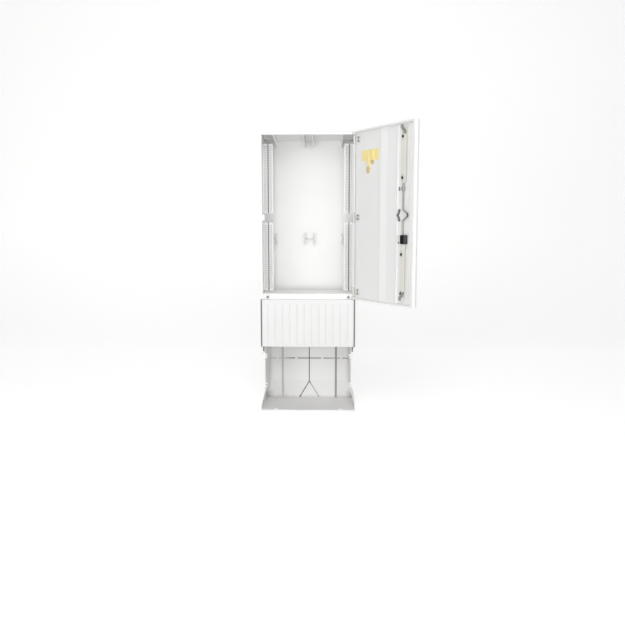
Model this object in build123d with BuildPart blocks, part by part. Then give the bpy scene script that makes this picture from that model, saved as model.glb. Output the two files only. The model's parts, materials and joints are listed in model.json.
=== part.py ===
from math import cos, radians, sin
import os

from build123d import *

# Distribution pillar in pressed glass-fibre polyester, in millimetres.
# +Z is up, the front faces -Y, and the origin lies on the ground under the middle of the housing.

# Housing
housing_width = 590.0
housing_depth = 320.0
wall = 5.0
housing_bottom = 382.0
eaves = 1726.0
frame_lip = 12.0
corner_radius = 30.0
corner_return = 45.0
edge_round = 4.0
seat_width = 20.0
seat_height = 5.0
fit_gap = 0.2
slide_gap = 0.3

# Roof
roof_rim = 18.0
roof_fall = 11.0
roof_crown = 8.0
gusset_thickness = 6.0
gusset_places = (-212.0, -28.0, 28.0, 212.0)
gusset_front_drop = 6.0
gusset_rear_drop = 42.0

# Floor tray between the two compartments
sill_rise = 35.0
tray_rear_gap = 46.0
sill_setback = 7.0
sill_height = 54.0
tray_side_lip = 24.0

# Ribbed lower cover
cover_rise = 41.0
cover_height = 296.0
cover_face = 4.0
cover_lip = 5.0
seal_width = 8.0
seal_setback = 2.5
groove_count = 12
groove_pitch = 45.1
groove_width = 8.0
groove_floor = 4.0
groove_depth = 2.0
cover_plain_top = 31.0
cover_plain_bottom = 9.0
tab_inset = 43.0
tab_width = 24.0
tab_rise = 29.0
tab_sheet = 4.0
cover_screw_radius = 3.0
cover_screw_head = 6.0
cover_screw_cap = 2.5

# Base
base_wall = 5.0
base_overlap = 58.0
flare_top = 140.0
flare_bottom = 42.0
flare_spread = 25.0
bend_radius = 26.0
foot_flange = 38.0
foot_thickness = 6.0
shoulder_height = 8.0
shoulder_reach = 16.0
lug_heights = (172.0, 358.0)
lug_size = (12.0, 20.0, 28.0)
lug_bore = 4.0
score_depth = 3.5
score_rail_height = 290.0
score_fork_height = 131.0
score_fork_half = 63.0
score_fork_foot = 20.0
score_side_place = 180.0
score_side_width = 14.0
score_line_width = 6.0
score_bridges = (-214.0, -88.0, 88.0, 214.0)
score_bridge_width = 16.0
floor_overhang = 5.0
floor_rib = 30.0
anchor_inset = 90.0
anchor_front = -148.0
anchor_rear = 112.0
anchor_radius = 7.0
anchor_boss_radius = 14.0
anchor_boss_height = 6.0
base_bolt_radius = 4.0
base_bolt_head = 6.5
base_bolt_places = (-100.0, 80.0)

# Mounting rails, panel clips and centring block
rail_width = 64.0
rail_depth = 25.0
rail_sheet = 3.0
rail_front = -17.0
rail_slot = 10.0
tooth_pitch = 12.5
tooth_gap = 5.0
tooth_span = 50.0
rail_foot_gap = 8.0
rail_head_gap = 38.0
rail_split = 60.0
clip_height = 1093.0
clip_half = 39.0
clip_depth = 30.0
clip_sheet = 4.0
clip_ear = 16.0
clip_inner_place = 28.0
clip_outer_place = 220.0
clip_link = 4.0
block_size = (24.0, 40.0, 36.0)

# Door
door_reveal = 3.0
middle_drop = 4.5
door_depth = 25.0
door_skin = 5.0
door_gap = 0.5
door_edge_gap = 0.3
door_opening = 124.0
door_rim = 10.0
hinge_lip = 20.0
free_lip = 29.0
free_wall = 12.0
free_slope = 11.0
free_slope_depth = 10.5
stiffener_place = 251.0
stiffener_crest = 6.0
stiffener_width = 60.0
stiffener_height = 8.0
channel_rib = 4.0
channel_rib_height = 6.0
channel_reach = (72.0, 38.0)

# Hinges
lower_hinge_rise = 49.0
upper_hinge_drop = 49.0
pin_radius = 4.0
running_gap = 0.05
eye_radius = 7.0
eye_half = 12.0
knuckle = 12.0
knuckle_gap = 0.3
arm_width = 10.0
arm_gap = 1.0
bracket_half = 15.0
bracket_reach = 50.0
pin_head_radius = 6.0
pin_head = 3.0
leaf_start = 10.0
leaf_length = 45.0
leaf_half = 18.0
leaf_screw_inset = 28.0
leaf_screw_rise = 10.0
leaf_sheet = 4.0
notch_spare = 5.0
hinge_screw_radius = 3.0
hinge_screw_head = 5.0
hinge_screw_cap = 2.5
hinge_screw_bite = 2.0
hinge_screw_gap = 0.15

# Lock
spindle_inset = 100.9
spindle_height = 1097.0
spindle_radius = 5.95
cam_radius = 15.5
cam_start = 11.5
cam_sheet = 3.3
cam_throw = 9.9
cam_pin = 3.0
bar_offset = 8.0
bar_width = 42.0
bar_plane = 15.2
bar_sheet = 3.0
upper_bar_rise = 314.0
lower_bar_drop = 61.0
guide_offset = 8.0
guide_top_gap = 41.0
guide_foot_gap = 18.0
guide_rod_gap = 3.0
guide_neck_gap = 22.0
guide_bolt_radius = 4.0
guide_head_radius = 8.5
guide_head = 3.5
guide_boss_radius = 9.0
guide_slot_gap = 0.5
upper_slot_spare = 16.0
lower_slot_spare = 8.0
rod_radius = 5.0
rod_offset = 9.5
rod_bend_rise = 135.0
rod_bend_half = 30.0
rod_bend_reach = 52.0
rod_bend_radius = 13.0
rod_end_rise = 19.0
tail_width = 9.0
yoke_size = (17.0, 18.0)
yoke_slot = (12.0, 7.2)
yoke_side_gap = 0.6
neck_inset = 2.0
case_size = (42.0, 50.0)
case_depth = 20.0
case_wall = 3.0
flange_reach = 42.0
flange_sheet = 4.0
rod_hole_gap = 0.6
collar_wall = 6.0
case_corner = 4.0
bolt_seat = 2.0
bolt_edge = 0.8
neck_slot_gap = 0.8
hook_width = 14.0
hook_foot = (30.0, 14.0)
hook_throat = 12.0
hook_finger = 8.0
hook_reach = 48.0
hook_rise = 18.0
hook_eaves_gap = 6.0
hook_sill_gap = 3.0
keeper_gap = 1.0
keeper_spare = 3.0
rod_guide_rise = 281.0
rod_guide_size = (52.0, 18.0, 19.0)
buffer_offset = 49.0
buffer_half = 27.0
buffer_bend_half = 15.0
buffer_reach = 13.0
buffer_strip = 6.0
buffer_height = 11.0
buffer_pad = 7.0
buffer_pad_height = 5.0

# Handle on the outer face
plate_size = (60.0, 130.0)
plate_sheet = 5.0
plate_radius = 14.0
hub_radius = 12.0
hub_front = 20.0
hub_gap = 0.3
lever_length = 66.0
lever_root = 22.0
lever_tip = 15.0
lever_sheet = 11.0
cylinder_radius = 8.5
cylinder_drop = 48.0
cylinder_front = 6.5
cylinder_rear = 11.0
keyway = (2.0, 9.0, 6.0)
plate_edge = 1.5
lever_edge = 2.5

# Tape and keys on the inner face
tape_start = 68.0
tape_length = 161.0
tape_height = 66.0
tape_drop = 185.0
tape_sheet = 0.6
bulge_start = 40.0
bulge_length = 90.0
bulge_slope = 6.0
key_places = {"door_key": 131.0, "spare_key": 172.0}
key_drops = {"door_key": 72.0, "spare_key": 23.0}
key_sheet = 2.4
key_gap = 0.2
bow_size = (30.0, 36.0)
bow_corner = 11.0
bow_hole = 4.0
bow_hole_rise = 8.0
key_neck = (14.0, 6.0)
key_blade = (9.0, 46.0)

# Values that follow from the sizes above
half_width = housing_width / 2
inner_half = half_width - wall
front = -housing_depth / 2
rear = housing_depth / 2
waist_half = half_width - seat_width
tab_place = half_width - tab_inset
anchor_place = half_width - anchor_inset
waist_rear = rear - seat_width
foot_half = waist_half + flare_spread
foot_rear = waist_rear + flare_spread
roof_edge = eaves + roof_rim
sill_front = front + sill_setback
tab_rear = sill_front - fit_gap
tab_front = tab_rear - tab_sheet
tray_rear = rear - tray_rear_gap
cover_half = half_width - seal_width - fit_gap
cover_bottom = housing_bottom + cover_rise
cover_top = cover_bottom + cover_height
tray_top = cover_top + sill_rise
base_top = housing_bottom + base_overlap
door_radius = door_depth / 2
axis_x = half_width - door_radius - door_edge_gap
axis_y = front - door_gap - door_radius
door_face_y = axis_y - door_radius
door_length = axis_x + half_width - door_edge_gap
door_bottom = cover_top + door_reveal
door_top = roof_edge - door_reveal
spindle_place = door_length - spindle_inset
bar_place = spindle_place - bar_offset
guide_place = bar_place - guide_offset
rod_place = spindle_place - rod_offset
buffer_place = spindle_place - buffer_offset
channel_places = (spindle_place - channel_reach[0], spindle_place + channel_reach[1])
door_height = door_top - door_bottom
middle_height = (door_bottom + door_top) / 2 - middle_drop
hinge_heights = {
    "lower": door_bottom + lower_hinge_rise,
    "middle": middle_height,
    "upper": door_top - upper_hinge_drop,
}
rail_spans = {
    "lower": (tray_top + rail_foot_gap, middle_height - rail_split / 2),
    "upper": (middle_height + rail_split / 2, eaves - rail_head_gap),
}
tape_bottom = door_top - tape_drop
bulge_height = key_sheet + 2 * key_gap
floor_top = 2 * foot_thickness
rail_middle = inner_half - rail_width / 2
stroke = 2 * cam_throw * sin(radians(45))
bar_rear = bar_plane + bar_sheet
bar_middle = bar_plane + bar_sheet / 2
hook_top = eaves - hook_eaves_gap
hook_bottom = tray_top + hook_sill_gap
upper_bar_span = (spindle_height + upper_bar_rise, hook_top - hook_rise)
lower_bar_span = (hook_bottom + hook_rise, spindle_height - lower_bar_drop)
lower_guides = (lower_bar_span[0] + guide_foot_gap, lower_bar_span[1] - guide_neck_gap)
rod_reach = upper_bar_span[0] + stroke + guide_rod_gap
upper_guides = (rod_reach + guide_boss_radius, upper_bar_span[1] - guide_top_gap)
guide_heights = lower_guides + upper_guides
rod_end = spindle_height + rod_end_rise
rod_bend_height = spindle_height + rod_bend_rise
rod_guide_height = spindle_height + rod_guide_rise
notch_half = eye_half + knuckle_gap + knuckle + pin_head + notch_spare

# Directions of the open door: along the leaf, and towards its inner side
along = Vector(-cos(radians(door_opening)), -sin(radians(door_opening)), 0)
inward = Vector(-sin(radians(door_opening)), cos(radians(door_opening)), 0)


def door_level(height):
    """Level plane at the hinge axis: x runs along the leaf, y points out of its outer face."""
    return Plane(origin=(axis_x, axis_y, height), x_dir=along, z_dir=(0, 0, 1))


def door_depth_plane(depth):
    """Upright plane inside the leaf: x runs along it, y is height, depth counts from the outer face."""
    origin = Vector(axis_x, axis_y, 0) + inward * (depth - door_radius)
    return Plane(origin=origin, x_dir=along, z_dir=inward)


def door_cross_plane(place):
    """Upright plane across the leaf: x is the depth from the outer face, y is height."""
    origin = Vector(axis_x, axis_y, 0) + along * place - inward * door_radius
    return Plane(origin=origin, x_dir=inward, z_dir=-along)


def out_at(depth):
    """The y value on a level plane for a depth counted from the outer face."""
    return door_radius - depth


def write_node(piece, node):
    piece.part.label = node
    export_step(piece.part, f"parts/{node}.step")


def box_between(low, high, mode=Mode.ADD):
    """An upright box from its lowest to its highest corner."""
    size = [top - bottom for bottom, top in zip(low, high)]
    with Locations(low):
        Box(*size, align=(Align.MIN, Align.MIN, Align.MIN), mode=mode)


def door_box(span, depths, heights, mode=Mode.ADD):
    """A box in the leaf's own frame: along the leaf, into its depth, and in height."""
    with BuildSketch(door_level(heights[0])) as section:
        with Locations(((span[0] + span[1]) / 2, (out_at(depths[0]) + out_at(depths[1])) / 2)):
            Rectangle(span[1] - span[0], abs(depths[1] - depths[0]))
    extrude(section.sketch, amount=heights[1] - heights[0], mode=mode)


def door_disc(place, height, radius, depths, mode=Mode.ADD):
    """A round boss, bolt or hole square to the leaf."""
    with BuildSketch(door_depth_plane(depths[0])) as section:
        with Locations((place, height)):
            Circle(radius)
    extrude(section.sketch, amount=depths[1] - depths[0], mode=mode)


def groove_cuts(plane, length, start):
    """Shallow tapered grooves cut side by side along the height of a ribbed face."""
    with BuildSketch(plane.offset(start)) as section:
        for index in range(groove_count):
            middle = (index - (groove_count - 1) / 2) * groove_pitch
            with BuildLine():
                Polyline(
                    (middle - groove_width / 2, 0),
                    (middle - groove_floor / 2, -groove_depth),
                    (middle + groove_floor / 2, -groove_depth),
                    (middle + groove_width / 2, 0),
                    close=True,
                )
            make_face()
    extrude(section.sketch, amount=length, mode=Mode.SUBTRACT)


os.makedirs("parts", exist_ok=True)

# Base: the waist of the trough widens into a flared foot.
waist_line = ((base_top, 0), (flare_top, 0), (flare_bottom, flare_spread), (0, flare_spread))


def flared_profile(outer, sheet):
    """Points of a wall section that follows the flare, as distance and height."""
    outside = [(outer + spread, height) for height, spread in waist_line]
    inside = [(outer - sheet + spread, height) for height, spread in reversed(waist_line)]
    return outside + inside


def bend_corners(section):
    """Corners of a section where the waist meets the flare and the flare meets the foot."""
    bends = (flare_top, flare_bottom)
    return section.vertices().filter_by(lambda v: min(abs(v.Y - height) for height in bends) < fit_gap)


def flared_prism(half, back):
    """Points of the space inside the flare, as distance and height, open to the other side."""
    return [(back, 0), (back, base_top)] + [(half + spread, height) for height, spread in waist_line]


def base_side(side):
    with BuildPart() as piece:
        with BuildSketch(Plane.XZ.offset(-foot_rear)) as sheet:
            with BuildLine():
                Polyline(*flared_profile(waist_half, base_wall), close=True)
            make_face()
            fillet(bend_corners(sheet), radius=bend_radius)
        extrude(amount=foot_rear - front)
        with BuildSketch(Plane.YZ) as rear_limit:
            with BuildLine():
                Polyline(*flared_prism(waist_rear, front), close=True)
            make_face()
            fillet(bend_corners(rear_limit), radius=bend_radius)
        extrude(amount=foot_half + wall, mode=Mode.INTERSECT)
        box_between(
            (foot_half - base_wall - foot_flange, front, 0),
            (foot_half - base_wall, foot_rear - base_wall, foot_thickness),
        )
        box_between(
            (waist_half, front, housing_bottom - shoulder_height),
            (waist_half + shoulder_reach, rear - corner_return, housing_bottom),
        )
        for height in lug_heights:
            low = (waist_half - base_wall - lug_size[0], front + wall, height - lug_size[2] / 2)
            box_between(low, (waist_half - base_wall, low[1] + lug_size[1], height + lug_size[2] / 2))
            with Locations(Plane((low[0] + lug_size[0] / 2, low[1], height), z_dir=(0, -1, 0))):
                Hole(lug_bore, depth=lug_size[1])
        for place in base_bolt_places:
            with Locations((waist_half + seat_width / 2 - wall / 2, place, housing_bottom)):
                Hole(base_bolt_radius + fit_gap, depth=shoulder_height)
        if side < 0:
            mirror(about=Plane.YZ, mode=Mode.REPLACE)
    return piece


for side, name in ((-1, "left"), (1, "right")):
    write_node(base_side(side), f"base_side_{name}")

# Scored break-out lines on the inner face of the base's rear wall.
with BuildPart() as score_lines:
    with BuildSketch(Plane.YZ.offset(-foot_half)) as sheet:
        with BuildLine():
            Polyline(*flared_profile(waist_rear - base_wall + score_depth, 2 * score_depth), close=True)
        make_face()
        fillet(bend_corners(sheet), radius=bend_radius)
    extrude(amount=2 * foot_half)
    with BuildSketch(Plane.XZ.offset(-foot_rear)):
        for place in (-score_side_place, score_side_place):
            with Locations((place, (base_top + floor_top) / 2)):
                Rectangle(score_side_width, base_top - floor_top)
        with Locations((0, (base_top + score_fork_height) / 2)):
            Rectangle(score_line_width, base_top - score_fork_height)
        for place in (-score_fork_half, score_fork_half):
            with BuildLine() as leg:
                Line((0, score_fork_height), (place, score_fork_foot))
            trace(leg.line, line_width=score_line_width)
            with Locations((place, score_fork_foot)):
                Circle(score_line_width)
        with Locations((0, score_rail_height)):
            Rectangle(2 * waist_half, score_line_width)
            with Locations(*[(place, 0) for place in score_bridges]):
                Rectangle(score_bridge_width, 2 * score_line_width, mode=Mode.SUBTRACT)
    extrude(amount=foot_rear - front, mode=Mode.INTERSECT)

with BuildPart() as base_rear_wall:
    with BuildSketch(Plane.YZ.offset(-foot_half)) as sheet:
        with BuildLine():
            Polyline(*flared_profile(waist_rear, base_wall), close=True)
        make_face()
        fillet(bend_corners(sheet), radius=bend_radius)
    extrude(amount=2 * foot_half)
    with BuildSketch(Plane.XZ.offset(-foot_rear)) as between_sides:
        with BuildLine():
            Polyline(*flared_prism(waist_half - base_wall, 0), close=True)
        make_face()
        fillet(bend_corners(between_sides), radius=bend_radius)
        mirror(about=Plane.YZ)
    extrude(amount=foot_rear - front, mode=Mode.INTERSECT)
    add(score_lines.part, mode=Mode.SUBTRACT)
    flange_half = foot_half - base_wall - foot_flange
    box_between(
        (-flange_half, foot_rear - base_wall - foot_flange, 0),
        (flange_half, foot_rear - base_wall, foot_thickness),
    )
    shoulder_half = waist_half - base_wall
    box_between(
        (-shoulder_half, waist_rear, housing_bottom - shoulder_height),
        (shoulder_half, waist_rear + shoulder_reach - wall, housing_bottom),
    )
write_node(base_rear_wall, "base_rear_wall")

anchor_points = [(x, y) for x in (-anchor_place, anchor_place) for y in (anchor_front, anchor_rear)]
with BuildPart() as base_floor:
    plate_half = foot_half - base_wall - fit_gap
    box_between(
        (-plate_half, front - floor_overhang, foot_thickness),
        (plate_half, foot_rear - base_wall - fit_gap, floor_top),
    )
    box_between((-plate_half, front - floor_overhang, 0), (plate_half, front - fit_gap, foot_thickness))
    rib_half = flange_half - fit_gap
    box_between((-rib_half, -floor_rib / 2, 0), (rib_half, floor_rib / 2, foot_thickness))
    with BuildSketch(Plane.XY.offset(floor_top)):
        with Locations(*anchor_points):
            Circle(anchor_boss_radius)
    extrude(amount=anchor_boss_height)
    with Locations(*[(x, y, floor_top + anchor_boss_height) for x, y in anchor_points]):
        Hole(anchor_radius, depth=floor_top + anchor_boss_height)
write_node(base_floor, "base_floor")


# Housing: two side walls with a door frame lip, and a seat at the foot that stands on the base.
def side_wall(side):
    with BuildPart() as piece:
        box_between((inner_half, front, housing_bottom), (half_width, rear, eaves))
        outer_rear_edge = piece.edges().filter_by(Axis.Z).sort_by(lambda e: e.center().X + e.center().Y)[-1]
        fillet(outer_rear_edge, radius=edge_round)
        box_between((half_width - frame_lip, front, housing_bottom), (inner_half, front + wall, eaves))
        box_between(
            (waist_half, front, housing_bottom),
            (inner_half, rear - corner_return, housing_bottom + seat_height),
        )
        for place in base_bolt_places:
            with Locations((waist_half + seat_width / 2 - wall / 2, place, housing_bottom + seat_height)):
                Hole(base_bolt_radius + fit_gap, depth=seat_height)
        if side > 0:
            for height in hinge_heights.values():
                box_between(
                    (half_width - frame_lip, front, height - eye_half - arm_gap),
                    (axis_x + arm_width / 2 + arm_gap, front + wall, height + eye_half + arm_gap),
                    mode=Mode.SUBTRACT,
                )
                for y in bracket_screw_places:
                    with Locations(Plane((inner_half, y, height), z_dir=(-1, 0, 0))):
                        Hole(hinge_screw_radius + hinge_screw_gap, depth=hinge_screw_bite + fit_gap)
        else:
            mirror(about=Plane.YZ, mode=Mode.REPLACE)
    return piece


bracket_start = front + 2 * wall
bracket_screw_places = (bracket_start + bracket_reach * 0.4, bracket_start + bracket_reach * 0.8)

for side, name in ((-1, "left"), (1, "right")):
    write_node(side_wall(side), f"side_wall_{name}")

with BuildPart() as rear_wall:
    with BuildSketch(Plane.XY.offset(housing_bottom)) as section:
        with BuildLine():
            Polyline(
                (-inner_half, rear),
                (inner_half, rear),
                (inner_half, rear - corner_return),
                (inner_half - wall, rear - corner_return),
                (inner_half - wall, rear - wall),
                (wall - inner_half, rear - wall),
                (wall - inner_half, rear - corner_return),
                (-inner_half, rear - corner_return),
                close=True,
            )
        make_face()
        inside_corners = section.vertices().filter_by(
            lambda v: abs(v.Y - rear + wall) < 0.1 and abs(v.X) < inner_half - wall + 0.1
        )
        fillet(inside_corners, radius=corner_radius)
    extrude(amount=eaves - housing_bottom)
    box_between(
        (corner_radius + wall - inner_half, waist_rear, housing_bottom),
        (inner_half - wall - corner_radius, rear - wall, housing_bottom + seat_height),
    )
write_node(rear_wall, "rear_wall")


def roof_curve(half, level):
    """The crowned line of the roof, which falls to the rear, as depth and height."""
    return ((-half, level), (0, level + roof_crown - roof_fall / 2), (half, level - roof_fall))


# Roof cap: crowned top, plain rim, and gussets that run from the front down the rear wall.
with BuildPart() as roof:
    with BuildSketch(Plane.YZ.offset(-half_width)):
        with BuildLine():
            ThreePointArc(*roof_curve(rear, roof_edge))
            Polyline((rear, roof_edge - roof_fall), (rear, eaves), (front, eaves), (front, roof_edge))
        make_face()
    extrude(amount=housing_width)
    rear_corners = roof.edges().filter_by(Axis.Z).sort_by(Axis.Y)[-2:]
    fillet(rear_corners, radius=edge_round)
    top_edges = roof.faces().sort_by(Axis.Z)[-1].edges()
    fillet(top_edges, radius=edge_round)
    with BuildSketch(Plane.YZ.offset(-inner_half)):
        with BuildLine():
            ThreePointArc(*roof_curve(rear - wall, roof_edge - wall))
            Polyline(
                (rear - wall, roof_edge - wall - roof_fall),
                (rear - wall, eaves),
                (front + wall, eaves),
                (front + wall, roof_edge - wall),
            )
        make_face()
    extrude(amount=2 * inner_half, mode=Mode.SUBTRACT)
    gusset_top = roof_edge - wall / 2
    for place in gusset_places:
        with BuildSketch(Plane.YZ.offset(place - gusset_thickness / 2)):
            with BuildLine():
                gusset_rear = rear - wall - fit_gap
                Polyline(
                    (front + 2 * wall, eaves - gusset_front_drop),
                    (gusset_rear, eaves - gusset_rear_drop),
                    (gusset_rear, gusset_top - roof_fall),
                    (0, gusset_top + roof_crown - roof_fall / 2),
                    (front + 2 * wall, gusset_top),
                    close=True,
                )
            make_face()
        extrude(amount=gusset_thickness)
write_node(roof, "roof")

# Floor tray: downturned lips at the front and sides, and a slot for the lower hook.
hook_span = (bar_place + bar_width / 2 - hook_width, bar_place + bar_width / 2)
hook_x = (axis_x - hook_span[1], axis_x - hook_span[0])
hook_y = (door_face_y + hook_reach - hook_finger, door_face_y + hook_reach)
with BuildPart() as floor_tray:
    tray_half = inner_half - fit_gap
    box_between((-tray_half, sill_front, tray_top - wall), (tray_half, tray_rear, tray_top))
    box_between((-tray_half, sill_front, tray_top - sill_height), (tray_half, sill_front + wall, tray_top))
    for low, high in ((-tray_half, wall - tray_half), (tray_half - wall, tray_half)):
        box_between(
            (low, sill_front, tray_top - wall - tray_side_lip),
            (high, tray_rear, tray_top - wall),
        )
    box_between(
        (hook_x[0] - keeper_spare, hook_y[0] - keeper_gap, tray_top - wall),
        (hook_x[1] + keeper_spare, hook_y[1] + keeper_spare, tray_top),
        mode=Mode.SUBTRACT,
    )
    screw_height = cover_top + tab_rise / 2
    screw_points = [(x, sill_front, screw_height) for x in (-tab_place, tab_place)]
    with Locations(*[Plane(point, z_dir=(0, -1, 0)) for point in screw_points]):
        Hole(cover_screw_radius + fit_gap, depth=wall)
write_node(floor_tray, "floor_tray")

# Ribbed cover: a shallow pan whose rim meets the door frame, with two tabs fixed to the sill.
with BuildPart() as ribbed_cover:
    cover_rear = front - fit_gap
    pan_depth = cover_rear - door_face_y
    with BuildSketch(Plane.XZ.offset(-door_face_y)):
        with Locations((0, cover_bottom + cover_height / 2)):
            Rectangle(2 * cover_half, cover_height)
    extrude(amount=-pan_depth)
    upright_edges = ribbed_cover.edges().filter_by(Axis.Z).group_by(Axis.Y)[0]
    fillet(upright_edges, radius=edge_round)
    with BuildSketch(Plane.XZ.offset(-cover_rear)):
        with Locations((0, cover_bottom + cover_height / 2)):
            Rectangle(2 * (cover_half - cover_lip), cover_height - 2 * cover_lip)
    extrude(amount=pan_depth - cover_face, mode=Mode.SUBTRACT)
    face_plane = Plane(origin=(0, door_face_y, 0), x_dir=(-1, 0, 0), z_dir=(0, 0, 1))
    groove_length = cover_height - cover_plain_top - cover_plain_bottom
    groove_cuts(face_plane, groove_length, cover_bottom + cover_plain_bottom)
    lip_half = half_width - frame_lip - wall
    box_between((-lip_half, cover_rear, cover_top - cover_lip), (lip_half, tab_rear, cover_top))
    for x in (-tab_place, tab_place):
        box_between(
            (x - tab_width / 2, tab_front, cover_top),
            (x + tab_width / 2, tab_rear, cover_top + tab_rise),
        )
        with Locations(Plane((x, tab_front, screw_height), z_dir=(0, -1, 0))):
            Hole(cover_screw_radius + fit_gap, depth=tab_sheet)
write_node(ribbed_cover, "ribbed_cover")

for side, name in ((-1, "left"), (1, "right")):
    with BuildPart() as cover_seal:
        edge = side * half_width
        inner_edge = side * (half_width - seal_width)
        box_between(
            (min(edge, inner_edge), door_face_y + seal_setback, cover_bottom),
            (max(edge, inner_edge), front - fit_gap, cover_top),
        )
    write_node(cover_seal, f"cover_seal_{name}")

with BuildPart() as cover_screws:
    for x in (-tab_place, tab_place):
        with BuildSketch(Plane.XZ.offset(-tab_front)):
            with Locations((x, screw_height)):
                Circle(cover_screw_head)
        extrude(amount=cover_screw_cap)
        with BuildSketch(Plane.XZ.offset(-tab_front)):
            with Locations((x, screw_height)):
                Circle(cover_screw_radius)
        extrude(amount=-(tab_sheet + fit_gap + wall))
write_node(cover_screws, "cover_screws")

with BuildPart() as base_bolts:
    for side in (-1, 1):
        for place in base_bolt_places:
            spot = (side * (waist_half + seat_width / 2 - wall / 2), place)
            with BuildSketch(Plane.XY.offset(housing_bottom + seat_height)):
                with Locations(spot):
                    RegularPolygon(base_bolt_head, 6)
            extrude(amount=wall)
            with BuildSketch(Plane.XY.offset(housing_bottom - shoulder_height - wall)):
                with Locations(spot):
                    RegularPolygon(base_bolt_head, 6)
            extrude(amount=wall)
            with BuildSketch(Plane.XY.offset(housing_bottom - shoulder_height - wall)):
                with Locations(spot):
                    Circle(base_bolt_radius)
            extrude(amount=wall + shoulder_height + seat_height + wall)
write_node(base_bolts, "base_bolts")


# Toothed rails on the side walls: a channel whose two front lips are cut into facing combs.
def mounting_rail(side, span):
    length = span[1] - span[0]
    with BuildPart() as piece:
        with BuildSketch(Plane.XY.offset(span[0])):
            with Locations((rail_middle, rail_front + rail_depth / 2)):
                Rectangle(rail_width, rail_depth)
            with Locations((rail_middle, rail_front + (rail_depth - rail_sheet) / 2)):
                Rectangle(rail_width - 2 * rail_sheet, rail_depth - rail_sheet, mode=Mode.SUBTRACT)
        extrude(amount=length)
        with BuildSketch(Plane.XZ.offset(-rail_front - rail_sheet)):
            with Locations((rail_middle, span[0] + length / 2)):
                Rectangle(rail_width, length)
                Rectangle(rail_slot, length, mode=Mode.SUBTRACT)
                with GridLocations(0, tooth_pitch, 1, int(length / tooth_pitch) - 1):
                    Rectangle(tooth_span, tooth_gap, mode=Mode.SUBTRACT)
        extrude(amount=rail_sheet)
        if side < 0:
            mirror(about=Plane.YZ, mode=Mode.REPLACE)
    return piece


for side, side_name in ((-1, "left"), (1, "right")):
    for level_name, span in rail_spans.items():
        write_node(mounting_rail(side, span), f"{level_name}_rail_{side_name}")


def clip_upright(place, ear_side):
    """One upright clip plate on the rear wall with an ear at its top and bottom."""
    back = rear - wall
    box_between(
        (place - clip_sheet / 2, back - clip_depth, clip_height - clip_half),
        (place + clip_sheet / 2, back, clip_height + clip_half),
    )
    with BuildSketch(Plane.XZ.offset(clip_depth - back)) as ears:
        for up in (-1, 1):
            with BuildLine():
                Polyline(
                    (place, clip_height + up * clip_half),
                    (place + ear_side * clip_ear, clip_height + up * (clip_half - clip_ear)),
                    (place, clip_height + up * (clip_half - 1.5 * clip_ear)),
                    close=True,
                )
            make_face()
    extrude(ears.sketch, amount=-clip_sheet)


def clip_bridge(start, end):
    """The low rib that ties a clip to its neighbour."""
    box_between(
        (start, rear - wall - clip_depth / 2, clip_height - clip_link / 2),
        (end, rear - wall, clip_height + clip_link / 2),
    )


link_end = inner_half - wall - corner_radius
with BuildPart() as panel_clip_left:
    clip_upright(-clip_outer_place, 1)
    clip_bridge(-link_end, -clip_outer_place)
write_node(panel_clip_left, "panel_clip_left")

with BuildPart() as panel_clip_centre:
    clip_upright(-clip_inner_place, -1)
    clip_upright(clip_inner_place, 1)
    clip_bridge(-clip_inner_place, clip_inner_place)
write_node(panel_clip_centre, "panel_clip_centre")

with BuildPart() as panel_clip_right:
    clip_upright(clip_outer_place, -1)
    clip_bridge(clip_outer_place, link_end)
write_node(panel_clip_right, "panel_clip_right")

with BuildPart() as centring_block:
    box_between(
        (-inner_half, front + wall, middle_height - block_size[2] / 2),
        (block_size[0] - inner_half, front + wall + block_size[1], middle_height + block_size[2] / 2),
    )
    nose_edges = centring_block.faces().sort_by(Axis.X)[-1].edges()
    chamfer(nose_edges, length=block_size[0] / 4)
write_node(centring_block, "centring_block")

with BuildPart() as roof_keeper:
    box_between(
        (hook_x[0] - keeper_spare / 2, front + wall, eaves),
        (hook_x[1] + keeper_spare / 2, hook_y[0] - keeper_gap, roof_edge - wall - fit_gap),
    )
write_node(roof_keeper, "roof_keeper")


# Hinges: an eye on an arm from the side wall, a headed pin, and a leaf with two knuckles.
def hinge_bracket(height):
    with BuildPart() as piece:
        box_between(
            (inner_half - wall, bracket_start, height - bracket_half),
            (inner_half, bracket_start + bracket_reach, height + bracket_half),
        )
        box_between(
            (axis_x - arm_width / 2, axis_y, height - eye_half),
            (axis_x + arm_width / 2, bracket_start + bracket_reach / 4, height + eye_half),
        )
        with BuildSketch(Plane.XY.offset(height - eye_half)):
            with Locations((axis_x, axis_y)):
                Circle(eye_radius)
        extrude(amount=2 * eye_half)
        with Locations((axis_x, axis_y, height + eye_half)):
            Hole(pin_radius + running_gap, depth=2 * eye_half)
        for y in bracket_screw_places:
            with Locations(Plane((inner_half - wall, y, height), z_dir=(-1, 0, 0))):
                Hole(hinge_screw_radius + hinge_screw_gap, depth=wall)
    return piece


def hinge_pin(height):
    with BuildPart() as piece:
        reach = eye_half + knuckle_gap + knuckle
        with BuildSketch(Plane.XY.offset(height - reach)):
            with Locations((axis_x, axis_y)):
                Circle(pin_radius)
        extrude(amount=2 * reach)
        with BuildSketch(Plane.XY.offset(height + reach + knuckle_gap)):
            with Locations((axis_x, axis_y)):
                Circle(pin_head_radius)
        extrude(amount=pin_head)
        with BuildSketch(Plane.XY.offset(height + reach)):
            with Locations((axis_x, axis_y)):
                Circle(pin_radius)
        extrude(amount=knuckle_gap)
        chamfer(piece.edges().group_by(Axis.Z)[-1], length=pin_head / 3)
    return piece


leaf_screw_place = leaf_start + leaf_screw_inset


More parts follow.
